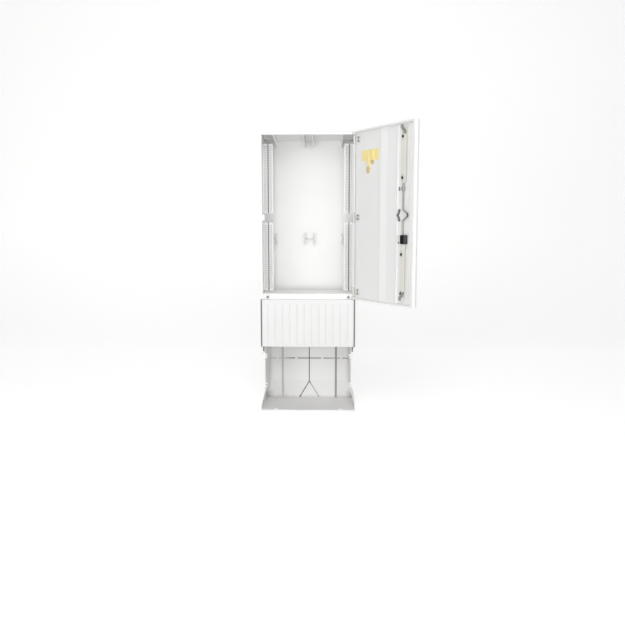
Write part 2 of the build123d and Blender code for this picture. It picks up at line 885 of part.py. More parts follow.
def hinge_leaf(height):
    with BuildPart() as piece:
        half = eye_half + knuckle_gap + knuckle
        depths = (door_skin, door_skin + leaf_sheet)
        door_box((leaf_start, leaf_start + leaf_length), depths, (height - leaf_half, height + leaf_half))
        for low in (height - half, height + half - knuckle):
            door_box((0, leaf_start + leaf_sheet), (door_skin, door_radius), (low, low + knuckle))
            with BuildSketch(door_level(low)):
                Circle(eye_radius)
            extrude(amount=knuckle)
        with BuildSketch(door_level(height - half)):
            Circle(pin_radius + running_gap)
        extrude(amount=2 * half, mode=Mode.SUBTRACT)
        for level in (height - leaf_screw_rise, height + leaf_screw_rise):
            door_disc(leaf_screw_place, level, hinge_screw_radius + hinge_screw_gap, depths, Mode.SUBTRACT)
    return piece


for level_name, height in hinge_heights.items():
    write_node(hinge_bracket(height), f"{level_name}_hinge_bracket")
    write_node(hinge_pin(height), f"{level_name}_hinge_pin")
    write_node(hinge_leaf(height), f"{level_name}_hinge_leaf")

with BuildPart() as bracket_screws:
    for height in hinge_heights.values():
        for y in bracket_screw_places:
            with BuildSketch(Plane((inner_half - wall, y, height), z_dir=(-1, 0, 0))):
                Circle(hinge_screw_head)
            extrude(amount=hinge_screw_cap)
            with BuildSketch(Plane((inner_half - wall, y, height), z_dir=(-1, 0, 0))):
                Circle(hinge_screw_radius)
            extrude(amount=-(wall + hinge_screw_bite))
write_node(bracket_screws, "bracket_screws")

with BuildPart() as leaf_screws:
    for height in hinge_heights.values():
        for level in (height - leaf_screw_rise, height + leaf_screw_rise):
            seat = door_skin + leaf_sheet
            door_disc(leaf_screw_place, level, hinge_screw_head, (seat, seat + hinge_screw_cap))
            door_disc(leaf_screw_place, level, hinge_screw_radius, (door_skin - hinge_screw_bite, seat))
write_node(leaf_screws, "leaf_screws")

# Door leaf: a rimmed pan with a rolled hinge edge, ribbed outside, stiffened inside.
with BuildPart() as door_panel:
    with BuildSketch(door_level(door_bottom)) as section:
        with BuildLine():
            ThreePointArc((0, door_radius), (-door_radius, 0), (0, -door_radius))
            Polyline(
                (0, -door_radius),
                (door_length - free_slope, -door_radius),
                (door_length, free_slope_depth - door_radius),
                (door_length, door_radius),
                (0, door_radius),
            )
        make_face()
        outer_corner = section.vertices().sort_by_distance((door_length, door_radius, 0))[0]
        fillet(outer_corner, radius=door_skin)
    extrude(amount=door_height)
    rim_heights = (door_bottom + door_rim, door_top - door_rim)
    under_lip = (door_skin, door_depth - door_skin)
    door_box((hinge_lip, door_length - free_lip), (door_skin, door_depth + wall), rim_heights, Mode.SUBTRACT)
    door_box((0, hinge_lip), under_lip, rim_heights, Mode.SUBTRACT)
    with BuildSketch(door_level(rim_heights[0])):
        Circle(door_radius - door_skin)
    extrude(amount=rim_heights[1] - rim_heights[0], mode=Mode.SUBTRACT)
    door_box((door_length - free_lip, door_length - free_wall), under_lip, rim_heights, Mode.SUBTRACT)
    with BuildSketch(door_level(rim_heights[0])):
        with BuildLine():
            Polyline(
                (stiffener_place, out_at(door_skin / 2)),
                (stiffener_place, out_at(door_skin)),
                (stiffener_place + stiffener_crest, out_at(door_skin + stiffener_height)),
                (stiffener_place + stiffener_width, out_at(door_skin)),
                (stiffener_place + stiffener_width, out_at(door_skin / 2)),
                close=True,
            )
        make_face()
    extrude(amount=rim_heights[1] - rim_heights[0])
    for place in channel_places:
        rib_depths = (door_skin, door_skin + channel_rib_height)
        door_box((place, place + channel_rib), rib_depths, rim_heights)
    for height in guide_heights:
        door_disc(guide_place, height, guide_boss_radius, (door_skin, bar_plane - slide_gap))
        bolt_hole = guide_bolt_radius + fit_gap / 2
        door_disc(guide_place, height, bolt_hole, (door_skin + bolt_seat, bar_plane), Mode.SUBTRACT)
    for height in hinge_heights.values():
        notch = (height - notch_half, height + notch_half)
        door_box((-door_depth, eye_radius), (-wall, door_depth + wall), notch, Mode.SUBTRACT)
        door_box((0, hinge_lip + fit_gap), (door_skin, door_depth + wall), notch, Mode.SUBTRACT)
        for level in (height - leaf_screw_rise, height + leaf_screw_rise):
            bite = (door_skin - hinge_screw_bite - fit_gap, door_skin)
            door_disc(leaf_screw_place, level, hinge_screw_radius + hinge_screw_gap, bite, Mode.SUBTRACT)
    spindle_hole = spindle_radius + running_gap
    door_disc(spindle_place, spindle_height, spindle_hole, (-wall, door_depth), Mode.SUBTRACT)
    cylinder_height = spindle_height - cylinder_drop
    cylinder_hole = cylinder_radius + fit_gap / 2
    door_disc(spindle_place, cylinder_height, cylinder_hole, (-wall, door_skin), Mode.SUBTRACT)
    groove_plane = Plane(
        origin=door_level(0).from_local_coords((axis_x, door_radius, 0)),
        x_dir=along,
        z_dir=(0, 0, 1),
    )
    groove_cuts(groove_plane, door_height - 2 * cover_plain_top, door_bottom + cover_plain_top)
write_node(door_panel, "door_panel")


# Lock: flat bars on shouldered bolts, a bent rod, and a cam that drives two slotted yokes.
def bar_slot(height, travel, spare):
    """A guide slot that lets the bar run by its stroke past one bolt, longer by a spare length."""
    width = 2 * (guide_bolt_radius + guide_slot_gap)
    with BuildSketch(door_depth_plane(bar_plane)) as slot:
        with Locations((guide_place, height + travel * (spare - stroke) / 2)):
            SlotOverall(stroke + spare + width + 2 * guide_slot_gap, width, rotation=90)
    extrude(slot.sketch, amount=bar_sheet, mode=Mode.SUBTRACT)


def yoke_plate(side, pin_height):
    """The slotted plate that a cam pin drives, on one side of the spindle."""
    middle = spindle_place + side * (yoke_side_gap + yoke_size[0] / 2)
    with BuildSketch(door_depth_plane(bar_plane)) as plate:
        with Locations((middle, pin_height)):
            Rectangle(*yoke_size)
        pin_middle = spindle_place + side * cam_throw * (1 + cos(radians(45))) / 2
        with Locations((pin_middle, pin_height)):
            SlotOverall(yoke_slot[0], yoke_slot[1], mode=Mode.SUBTRACT)
    extrude(plate.sketch, amount=bar_sheet)


pin_rise = cam_throw * sin(radians(45))
upper_yoke = spindle_height - pin_rise
lower_yoke = spindle_height + pin_rise
bar_span = (bar_place - bar_width / 2, bar_place + bar_width / 2)

with BuildPart() as upper_bar:
    door_box(bar_span, (bar_plane, bar_rear), upper_bar_span)
    for height in upper_guides:
        bar_slot(height, 1, upper_slot_spare)
write_node(upper_bar, "upper_bar")

with BuildPart() as upper_rod:
    with BuildLine(door_depth_plane(bar_middle)) as rod_path:
        FilletPolyline(
            (rod_place, rod_end),
            (rod_place, rod_bend_height - rod_bend_half),
            (rod_place + rod_bend_reach, rod_bend_height),
            (rod_place, rod_bend_height + rod_bend_half),
            (rod_place, upper_bar_span[0]),
            radius=rod_bend_radius,
        )
    with BuildSketch(door_level(rod_end)):
        with Locations((rod_place, out_at(bar_middle))):
            Circle(rod_radius)
    sweep(path=rod_path.line)
    tail_span = (rod_place - tail_width / 2, rod_place + tail_width / 2)
    door_box(tail_span, (bar_plane, bar_rear), (upper_yoke + yoke_slot[1] / 2, rod_end + rod_radius))
    yoke_plate(-1, upper_yoke)
write_node(upper_rod, "upper_rod")

neck_span = (spindle_place + yoke_side_gap + neck_inset, spindle_place + yoke_side_gap + yoke_size[0])
case_low = spindle_height - case_size[1] / 2
with BuildPart() as lower_bar:
    door_box(bar_span, (bar_plane, bar_rear), lower_bar_span)
    for height in lower_guides:
        bar_slot(height, -1, lower_slot_spare)
    with BuildSketch(door_depth_plane(bar_plane)):
        with BuildLine():
            Polyline(
                (bar_span[0], lower_bar_span[1]),
                (bar_span[1], lower_bar_span[1]),
                (neck_span[1], case_low - case_wall),
                (neck_span[1], lower_yoke - yoke_slot[1] / 2),
                (neck_span[0], lower_yoke - yoke_slot[1] / 2),
                (neck_span[0], case_low - case_wall),
                close=True,
            )
        make_face()
    extrude(amount=bar_sheet)
    yoke_plate(1, lower_yoke)
write_node(lower_bar, "lower_bar")


def bar_hook(bar_end, tip, up):
    """A slanting arm from the bar's end to a finger that reaches behind the housing's rim."""
    with BuildPart() as piece:
        with BuildSketch(door_cross_plane(hook_span[1])):
            with BuildLine():
                Polyline(
                    (bar_rear, bar_end - up * hook_foot[0]),
                    (bar_rear, bar_end - up * hook_foot[1]),
                    (hook_reach - hook_finger, tip - up * hook_throat),
                    (hook_reach - hook_finger, tip),
                    (hook_reach, tip),
                    (hook_reach, tip - up * hook_rise),
                    close=True,
                )
            make_face()
        extrude(amount=hook_width)
        tip_edges = piece.edges().filter_by(lambda e: abs(e.center().Z - tip) < fit_gap)
        chamfer(tip_edges, length=hook_finger / 4)
    return piece


write_node(bar_hook(upper_bar_span[1], hook_top, 1), "upper_hook")
write_node(bar_hook(lower_bar_span[0], hook_bottom, -1), "lower_hook")

with BuildPart() as guide_bolts:
    for height in guide_heights:
        head_seat = bar_rear + slide_gap
        door_disc(guide_place, height, guide_head_radius, (head_seat, head_seat + guide_head))
        door_disc(guide_place, height, guide_bolt_radius, (door_skin + bolt_seat, head_seat))
    cap_edges = guide_bolts.edges().filter_by(GeomType.CIRCLE).filter_by(
        lambda e: abs(e.radius - guide_head_radius) < 0.01
    )
    chamfer(cap_edges, length=bolt_edge)
write_node(guide_bolts, "guide_bolts")

with BuildPart() as lock_case:
    case_span = (spindle_place - case_size[0] / 2, spindle_place + case_size[0] / 2)
    case_heights = (case_low, spindle_height + case_size[1] / 2)
    door_box(case_span, (door_skin, door_skin + case_depth), case_heights)
    fillet(lock_case.edges().filter_by(lambda e: abs(e.tangent_at(0).dot(inward)) > 0.99), radius=case_corner)
    inner_span = (case_span[0] + case_wall, case_span[1] - case_wall)
    inner_heights = (case_heights[0] + case_wall, case_heights[1] - case_wall)
    inner_depths = (door_skin, door_skin + case_depth - case_wall)
    door_box(inner_span, inner_depths, inner_heights, Mode.SUBTRACT)
    with BuildSketch(door_level(inner_heights[1])):
        with Locations((rod_place, out_at(bar_middle))):
            Circle(rod_radius + rod_hole_gap)
    extrude(amount=case_wall, mode=Mode.SUBTRACT)
    door_box(
        (neck_span[0] - neck_slot_gap, neck_span[1] + neck_slot_gap),
        (bar_plane - neck_slot_gap, bar_rear + neck_slot_gap),
        (case_heights[0], inner_heights[0]),
        Mode.SUBTRACT,
    )
write_node(lock_case, "lock_case")

with BuildPart() as lock_flange:
    flange_span = (case_span[0] - flange_reach, case_span[0])
    door_box(flange_span, (door_skin, door_skin + flange_sheet), case_heights)
    outer_corners = lock_flange.edges().filter_by(lambda e: abs(e.tangent_at(0).dot(inward)) > 0.99)
    fillet(outer_corners.sort_by(lambda e: e.center().dot(along))[:2], radius=case_corner)
write_node(lock_flange, "lock_flange")

with BuildPart() as lock_cam:
    door_disc(spindle_place, spindle_height, spindle_radius, (-hub_gap, cam_start))
    door_disc(spindle_place, spindle_height, cam_radius, (cam_start, cam_start + cam_sheet))
    pin_depths = (cam_start + cam_sheet, bar_rear + fit_gap)
    for side, pin_height in ((-1, upper_yoke), (1, lower_yoke)):
        door_disc(spindle_place + side * pin_rise, pin_height, cam_pin, pin_depths)
write_node(lock_cam, "lock_cam")

with BuildPart() as rod_guide:
    guide_end = rod_place + rod_radius + collar_wall
    guide_span = (guide_end - rod_guide_size[0], guide_end)
    guide_range = (rod_guide_height - rod_guide_size[1] / 2, rod_guide_height + rod_guide_size[1] / 2)
    door_box(guide_span, (door_skin, door_skin + channel_rib_height), guide_range)
    collar_start = rod_place - rod_radius - collar_wall
    door_box((collar_start, guide_end), (door_skin, door_skin + rod_guide_size[2]), guide_range)
    with BuildSketch(door_level(guide_range[0])):
        with Locations((rod_place, out_at(bar_middle))):
            Circle(rod_radius + rod_hole_gap)
    extrude(amount=rod_guide_size[1], mode=Mode.SUBTRACT)
    mouth = (rod_place - rod_radius - rod_hole_gap, rod_place + rod_radius + rod_hole_gap)
    door_box(mouth, (bar_middle, door_skin + rod_guide_size[2] + fit_gap), guide_range, Mode.SUBTRACT)
write_node(rod_guide, "rod_guide")

# Bent spring strip beside the rod's bend, on two round pads.
with BuildPart() as middle_buffer:
    strip_ends = (rod_bend_height - buffer_half, rod_bend_height + buffer_half)
    with BuildSketch(door_depth_plane(door_skin)):
        with BuildLine() as strip:
            Polyline(
                (buffer_place, strip_ends[0]),
                (buffer_place, rod_bend_height - buffer_bend_half),
                (buffer_place - buffer_reach, rod_bend_height),
                (buffer_place, rod_bend_height + buffer_bend_half),
                (buffer_place, strip_ends[1]),
            )
        trace(strip.line, line_width=buffer_strip)
    extrude(amount=buffer_height)
    for height in strip_ends:
        door_disc(buffer_place, height, buffer_pad, (door_skin, door_skin + buffer_pad_height))
write_node(middle_buffer, "middle_buffer")

# Handle plate, turn handle and key cylinder on the outer face.
with BuildPart() as handle_plate:
    with BuildSketch(door_depth_plane(-plate_sheet)):
        with Locations((spindle_place, spindle_height - cylinder_drop / 2)):
            RectangleRounded(*plate_size, plate_radius)
    extrude(amount=plate_sheet)
    outer_rim = handle_plate.edges().filter_by(
        lambda e: abs((e.center() - door_depth_plane(-plate_sheet).origin).dot(inward)) < 0.1
    )
    chamfer(outer_rim, length=plate_edge)
    hub_hole = hub_radius + fit_gap
    door_disc(spindle_place, spindle_height, hub_hole, (-plate_sheet, 0), Mode.SUBTRACT)
    door_disc(spindle_place, cylinder_height, cylinder_hole, (-plate_sheet, 0), Mode.SUBTRACT)
write_node(handle_plate, "handle_plate")

with BuildPart() as lock_handle:
    door_disc(spindle_place, spindle_height, hub_radius, (-hub_front, -hub_gap))
    with BuildSketch(door_depth_plane(-hub_front)):
        with BuildLine():
            Polyline(
                (spindle_place, spindle_height - lever_root / 2),
                (spindle_place + lever_length - lever_tip / 2, spindle_height - lever_tip / 2),
                (spindle_place + lever_length - lever_tip / 2, spindle_height + lever_tip / 2),
                (spindle_place, spindle_height + lever_root / 2),
                close=True,
            )
        make_face()
        with Locations((spindle_place + lever_length - lever_tip / 2, spindle_height)):
            Circle(lever_tip / 2)
    extrude(amount=lever_sheet)
    grip_edges = lock_handle.edges().filter_by(
        lambda e: abs((e.center() - door_depth_plane(-hub_front).origin).dot(inward)) < 0.1
    )
    fillet(grip_edges, radius=lever_edge)
write_node(lock_handle, "lock_handle")

with BuildPart() as lock_cylinder:
    door_disc(spindle_place, cylinder_height, cylinder_radius, (-cylinder_front, cylinder_rear))
    with BuildSketch(door_depth_plane(-cylinder_front)):
        with Locations((spindle_place, cylinder_height)):
            Rectangle(keyway[0], keyway[1])
    extrude(amount=keyway[2], mode=Mode.SUBTRACT)
write_node(lock_cylinder, "lock_cylinder")

# Tape over the bows of two keys on the door's inner face.
with BuildPart() as key_tape:
    tape_end = tape_start + tape_length
    bulge = (tape_start + bulge_start, tape_start + bulge_start + bulge_length)
    with BuildSketch(door_level(tape_bottom)):
        with BuildLine():
            outer_skin = [
                (tape_start, door_skin),
                (tape_start, door_skin + tape_sheet),
                (bulge[0], door_skin + tape_sheet),
                (bulge[0] + bulge_slope, door_skin + bulge_height + tape_sheet),
                (bulge[1] - bulge_slope, door_skin + bulge_height + tape_sheet),
                (bulge[1], door_skin + tape_sheet),
                (tape_end, door_skin + tape_sheet),
                (tape_end, door_skin),
                (bulge[1] - tape_sheet, door_skin),
                (bulge[1] - bulge_slope - tape_sheet, door_skin + bulge_height),
                (bulge[0] + bulge_slope + tape_sheet, door_skin + bulge_height),
                (bulge[0] + tape_sheet, door_skin),
            ]
            Polyline(*[(place, out_at(depth)) for place, depth in outer_skin], close=True)
        make_face()
    extrude(amount=tape_height)
write_node(key_tape, "key_tape")


def lock_key(place, drop):
    """A flat key that hangs from the tape: bow below, neck, and the blade under the tape."""
    bow_bottom = tape_bottom - drop
    bow_top = bow_bottom + bow_size[1]
    neck_top = bow_top + key_neck[1]
    with BuildPart() as piece:
        with BuildSketch(door_depth_plane(door_skin + key_gap)):
            with Locations((place, bow_bottom + bow_size[1] / 2)):
                RectangleRounded(*bow_size, bow_corner)
            with Locations((place, bow_top)):
                Rectangle(key_neck[0], 2 * key_neck[1])
            with Locations((place, neck_top + key_blade[1] / 2)):
                Rectangle(*key_blade)
            with Locations((place, bow_bottom + bow_hole_rise)):
                Circle(bow_hole, mode=Mode.SUBTRACT)
        extrude(amount=key_sheet)
    return piece


for name, place in key_places.items():
    write_node(lock_key(place, key_drops[name]), name)
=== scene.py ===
import json
import math

import bmesh
import bpy
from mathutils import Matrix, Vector, noise


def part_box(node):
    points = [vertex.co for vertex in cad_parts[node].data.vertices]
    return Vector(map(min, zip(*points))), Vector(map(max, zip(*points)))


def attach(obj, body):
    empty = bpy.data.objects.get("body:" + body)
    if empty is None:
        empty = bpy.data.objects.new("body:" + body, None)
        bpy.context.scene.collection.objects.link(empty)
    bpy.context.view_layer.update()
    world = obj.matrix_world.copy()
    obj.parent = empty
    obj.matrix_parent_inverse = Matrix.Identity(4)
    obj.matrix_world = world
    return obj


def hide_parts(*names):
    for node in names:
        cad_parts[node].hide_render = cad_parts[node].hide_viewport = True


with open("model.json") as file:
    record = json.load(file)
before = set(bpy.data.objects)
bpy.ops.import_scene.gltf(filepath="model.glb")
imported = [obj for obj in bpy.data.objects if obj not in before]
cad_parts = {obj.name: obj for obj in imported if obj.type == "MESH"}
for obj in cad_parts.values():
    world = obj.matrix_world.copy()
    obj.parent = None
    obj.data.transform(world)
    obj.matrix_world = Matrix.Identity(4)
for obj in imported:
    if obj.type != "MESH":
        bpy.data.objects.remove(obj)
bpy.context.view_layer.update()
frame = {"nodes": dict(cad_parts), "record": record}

scene = bpy.context.scene
nodes = frame["nodes"]
print("frame loaded:", len(nodes), "nodes")

# the open door's own directions, in metres
doorLeaf = {
    "axis": (0.2822, -0.1730),  # hinge axis in plan
    "opening": 124.0,           # degrees from shut, as photographed
    "halfDepth": 0.0125,        # axis to the outer face
    "skin": 0.005,
}
openAngle = math.radians(doorLeaf["opening"])
alongDoor = Vector((-math.cos(openAngle), -math.sin(openAngle), 0.0))
intoDoor = Vector((-math.sin(openAngle), math.cos(openAngle), 0.0))


def doorPoint(along, depth, height):  # depth counts from the outer face
    start = Vector((*doorLeaf["axis"], height))
    return start + alongDoor * along + intoDoor * (depth - doorLeaf["halfDepth"])


# small helpers for node trees
def addNode(tree, kind, place, **settings):
    node = tree.nodes.new(kind)
    node.location = place
    for key, value in settings.items():
        setattr(node, key, value)
    return node


def wire(tree, source, target):
    tree.links.new(source, target)


def feed(tree, value, target):  # an output is wired, a number stays on the socket
    if isinstance(value, bpy.types.NodeSocket):
        wire(tree, value, target)
    else:
        target.default_value = value


def maths(tree, place, operation, *values):
    node = addNode(tree, "ShaderNodeMath", place, operation=operation)
    for index, value in enumerate(values):
        feed(tree, value, node.inputs[index])
    return node.outputs[0]


def splitVector(tree, place, vector):
    node = addNode(tree, "ShaderNodeSeparateXYZ", place)
    wire(tree, vector, node.inputs["Vector"])
    return node.outputs


def addNoise(tree, place, vector, scale, detail, rough=0.5):
    node = addNode(tree, "ShaderNodeTexNoise", place)
    wire(tree, vector, node.inputs["Vector"])
    feed(tree, scale, node.inputs["Scale"])
    node.inputs["Detail"].default_value = detail
    node.inputs["Roughness"].default_value = rough
    return node.outputs["Fac"]


def stepUp(tree, place, value, low, high, least=0.0):
    # least at low, 1 at high; low may be the larger of the two
    node = addNode(tree, "ShaderNodeMapRange", place)
    wire(tree, value, node.inputs["Value"])
    feed(tree, low, node.inputs["From Min"])
    feed(tree, high, node.inputs["From Max"])
    node.inputs["To Min"].default_value = least
    return node.outputs["Result"]


def spread(tree, place, value, low, high):
    # 0 to 1 becomes low to high
    node = addNode(tree, "ShaderNodeMapRange", place)
    wire(tree, value, node.inputs["Value"])
    node.inputs["To Min"].default_value = low
    node.inputs["To Max"].default_value = high
    return node.outputs["Result"]


def mixColour(tree, place, factor, first, second):
    node = addNode(tree, "ShaderNodeMix", place, data_type="RGBA")
    wire(tree, factor, node.inputs["Factor"])
    for socket, value in ((node.inputs[6], first), (node.inputs[7], second)):  # the colour sockets A and B
        feed(tree, (*value, 1.0) if isinstance(value, tuple) else value, socket)
    return node.outputs[2]


def addBump(tree, place, height, strength, depth, normal=None):
    node = addNode(tree, "ShaderNodeBump", place)
    node.inputs["Strength"].default_value = strength
    node.inputs["Distance"].default_value = depth
    wire(tree, height, node.inputs["Height"])
    if normal is not None:
        wire(tree, normal, node.inputs["Normal"])
    return node.outputs["Normal"]


def newGroup(name, inputs, outputs):
    group = bpy.data.node_groups.new(name, "ShaderNodeTree")
    group.interface.new_socket("Vector", in_out="INPUT", socket_type="NodeSocketVector")
    for label, value in inputs.items():
        group.interface.new_socket(label, in_out="INPUT", socket_type="NodeSocketFloat").default_value = value
    for label, kind in outputs.items():
        group.interface.new_socket(label, in_out="OUTPUT", socket_type=kind)
    start = addNode(group, "NodeGroupInput", (-900, 0))
    end = addNode(group, "NodeGroupOutput", (700, 0))
    return group, start.outputs, end.inputs


grainForm = {
    "mottleDetail": 4.0, "mottleRough": 0.6, "pebbleDetail": 1.5, "strandDetail": 2.0,
    "strandTurn": (0.4, 0.9, 0.6), "strandStretch": (1.0, 9.0, 1.0), "strandFrom": 0.56, "strandTo": 0.72,
}


def makePressedGrain():
    # slow mottling, the mould's fine pebble and short glass strands
    group, start, end = newGroup(
        "pressedGrain", {"Mottle Scale": 4.0, "Pebble Scale": 700.0, "Strand Scale": 60.0},
        {"Mottle": "NodeSocketFloat", "Pebble": "NodeSocketFloat", "Strand": "NodeSocketFloat"})
    mottle = addNoise(group, (-500, 300), start["Vector"], start["Mottle Scale"],
                      grainForm["mottleDetail"], grainForm["mottleRough"])
    pebble = addNoise(group, (-500, 0), start["Vector"], start["Pebble Scale"], grainForm["pebbleDetail"])
    twist = addNode(group, "ShaderNodeMapping", (-700, -300))
    twist.inputs["Rotation"].default_value = grainForm["strandTurn"]
    twist.inputs["Scale"].default_value = grainForm["strandStretch"]
    wire(group, start["Vector"], twist.inputs["Vector"])
    strand = addNoise(group, (-500, -300), twist.outputs["Vector"], start["Strand Scale"],
                      grainForm["strandDetail"])
    strandCut = stepUp(group, (-250, -300), strand, grainForm["strandFrom"], grainForm["strandTo"])
    wire(group, mottle, end["Mottle"])
    wire(group, pebble, end["Pebble"])
    wire(group, strandCut, end["Strand"])
    return group


dustForm = {
    "levelFrom": 0.6, "levelTo": 0.98,  # how far up a face has to look
    "cloudDetail": 6.0, "cloudRough": 0.65, "patchFrom": 0.35, "patchTo": 0.75,
}


def makeSettledDust():
    # a thin veil on faces that look up, broken by noise
    group, start, end = newGroup("settledDust", {"Amount": 0.3, "Scale": 18.0}, {"Mask": "NodeSocketFloat"})
    facing = addNode(group, "ShaderNodeNewGeometry", (-700, 200))
    upward = splitVector(group, (-500, 200), facing.outputs["Normal"])["Z"]
    level = stepUp(group, (-300, 200), upward, dustForm["levelFrom"], dustForm["levelTo"])
    cloud = addNoise(group, (-500, -100), start["Vector"], start["Scale"],
                     dustForm["cloudDetail"], dustForm["cloudRough"])
    patch = stepUp(group, (-300, -100), cloud, dustForm["patchFrom"], dustForm["patchTo"])
    both = maths(group, (0, 100), "MULTIPLY", level, patch)
    wire(group, maths(group, (250, 100), "MULTIPLY", both, start["Amount"]), end["Mask"])
    return group


edgeForm = {
    "samples": 6, "matchFrom": 0.995, "matchTo": 0.86,  # how well the two normals agree
    "chipScale": 160.0, "chipDetail": 4.0, "chipFrom": 0.38, "chipTo": 0.66,
}


def makeRubbedEdge():
    # where the rounded normal leaves the flat one, the edge has been rubbed
    group, start, end = newGroup("rubbedEdge", {"Radius": 0.0015, "Amount": 1.0},
                                 {"Mask": "NodeSocketFloat", "Normal": "NodeSocketVector"})
    soft = addNode(group, "ShaderNodeBevel", (-600, 100), samples=edgeForm["samples"])
    flat = addNode(group, "ShaderNodeNewGeometry", (-600, -100))
    match = addNode(group, "ShaderNodeVectorMath", (-350, 0), operation="DOT_PRODUCT")
    wire(group, start["Radius"], soft.inputs["Radius"])
    wire(group, soft.outputs["Normal"], match.inputs[0])
    wire(group, flat.outputs["Normal"], match.inputs[1])
    edge = stepUp(group, (-150, 0), match.outputs["Value"], edgeForm["matchFrom"], edgeForm["matchTo"])
    chip = addNoise(group, (-350, -300), start["Vector"], edgeForm["chipScale"], edgeForm["chipDetail"])
    chipped = stepUp(group, (-150, -300), chip, edgeForm["chipFrom"], edgeForm["chipTo"])
    both = maths(group, (100, -100), "MULTIPLY", edge, chipped)
    wire(group, maths(group, (300, -100), "MULTIPLY", both, start["Amount"]), end["Mask"])
    wire(group, soft.outputs["Normal"], end["Normal"])
    return group


creviceForm = {
    "samples": 8,
    "unevenScale": 55.0, "unevenDetail": 3.0, "unevenFrom": 0.25, "unevenTo": 0.6, "unevenLeast": 0.7,
}


def makePaintedCreviceShade():
    # painted shade: darkens the colour where ambient occlusion finds crevices and corners, where shade falls,
    # broken by noise
    group, start, end = newGroup("paintedCreviceShade", {"Reach": 0.01, "Open": 0.85, "Closed": 0.45, "Amount": 1.0},
                                 {"Mask": "NodeSocketFloat"})
    hollow = addNode(group, "ShaderNodeAmbientOcclusion", (-600, 100), samples=creviceForm["samples"])
    wire(group, start["Reach"], hollow.inputs["Distance"])
    fade = stepUp(group, (-350, 100), hollow.outputs["AO"], start["Open"], start["Closed"])
    cloud = addNoise(group, (-600, -200), start["Vector"], creviceForm["unevenScale"],
                     creviceForm["unevenDetail"])
    uneven = stepUp(group, (-350, -200), cloud, creviceForm["unevenFrom"], creviceForm["unevenTo"],
                    creviceForm["unevenLeast"])
    both = maths(group, (-100, 0), "MULTIPLY", fade, uneven)
    wire(group, maths(group, (150, 0), "MULTIPLY", both, start["Amount"]), end["Mask"])
    return group


pressedGrain = makePressedGrain()
settledDust = makeSettledDust()
rubbedEdge = makeRubbedEdge()
paintedCreviceShade = makePaintedCreviceShade()
print("shared finishes made")


def startMaterial(name):
    material = bpy.data.materials.new(name)
    material.use_nodes = True
    tree = material.node_tree
    shader = tree.nodes["Principled BSDF"]
    place = addNode(tree, "ShaderNodeTexCoord", (-1300, 0))
    return material, tree, shader, place.outputs["Object"]


def useGroup(tree, group, place, vector, **values):
    node = addNode(tree, "ShaderNodeGroup", place)
    node.node_tree = group
    wire(tree, vector, node.inputs["Vector"])
    for label, value in values.items():
        node.inputs[label.replace("_", " ")].default_value = value
    return node.outputs


def farSideMask(tree, vector, side):
    # 0 on the hinge side of a line down the door, 1 beyond it
    along = addNode(tree, "ShaderNodeVectorMath", (-700, 600), operation="DOT_PRODUCT")
    along.inputs[1].default_value = alongDoor
    wire(tree, vector, along.inputs[0])
    start = doorPoint(0.0, doorLeaf["halfDepth"], 0.0).dot(alongDoor)
    return stepUp(tree, (-500, 600), along.outputs["Value"], start + side["from"], start + side["to"])


def slotShadeMask(tree, vector, slot):
    # painted shade: 1 on the floor of the rails' long slots, left and right alike, where the slots are
    # darkened as if in shadow
    across = splitVector(tree, (-1500, -700), vector)["X"]
    side = maths(tree, (-1300, -700), "ABSOLUTE", across)
    off = maths(tree, (-1100, -700), "SUBTRACT", side, slot["middle"])
    away = maths(tree, (-900, -700), "ABSOLUTE", off)
    return stepUp(tree, (-700, -700), away, slot["half"] + slot["fade"], slot["half"])


def scoredShadeMask(tree, vector, wall):
    # painted shade: 1 on the floor of the scored lines, darkened as if in shade, 0 on both faces of the sheet
    place = splitVector(tree, (-1500, -700), vector)
    flare = stepUp(tree, (-1300, -800), place["Z"], wall["flareTop"], wall["flareBottom"])
    lean = maths(tree, (-1200, -800), "MULTIPLY", flare, wall["flareSpread"])
    depth = maths(tree, (-1100, -700), "SUBTRACT", place["Y"], lean)
    face = wall["innerFace"]
    low = stepUp(tree, (-900, -700), depth, face + wall["floorFrom"], face + wall["floorTo"])
    high = stepUp(tree, (-900, -950), depth, face + wall["backFrom"], face + wall["backTo"])
    return maths(tree, (-700, -800), "MULTIPLY", low, high)


def scoredShadeColour(tree, vector, wall):
    # painted light and shade: the outer lines and the fork's right arm are paler than the middle line, and
    # the left line paler than the right, as if light fell into the grooves from one side
    place = splitVector(tree, (-700, -1200), vector)
    across = place["X"]
    beyond = stepUp(tree, (-500, -1400), across, wall["armFrom"], wall["armTo"])
    below = stepUp(tree, (-500, -1600), place["Z"], wall["armTop"] + wall["armFade"], wall["armTop"])
    rightArm = maths(tree, (-300, -1400), "MULTIPLY", beyond, below)
    fork = mixColour(tree, (-100, -1400), rightArm, wall["colour"], wall["armPale"])
    leftLine = stepUp(tree, (-100, -1200), across, -wall["paleFrom"], -wall["paleTo"])
    left = mixColour(tree, (100, -1300), leftLine, fork, wall["leftPale"])
    rightLine = stepUp(tree, (100, -1100), across, wall["paleFrom"], wall["paleTo"])
    return mixColour(tree, (300, -1200), rightLine, left, wall["rightPale"])


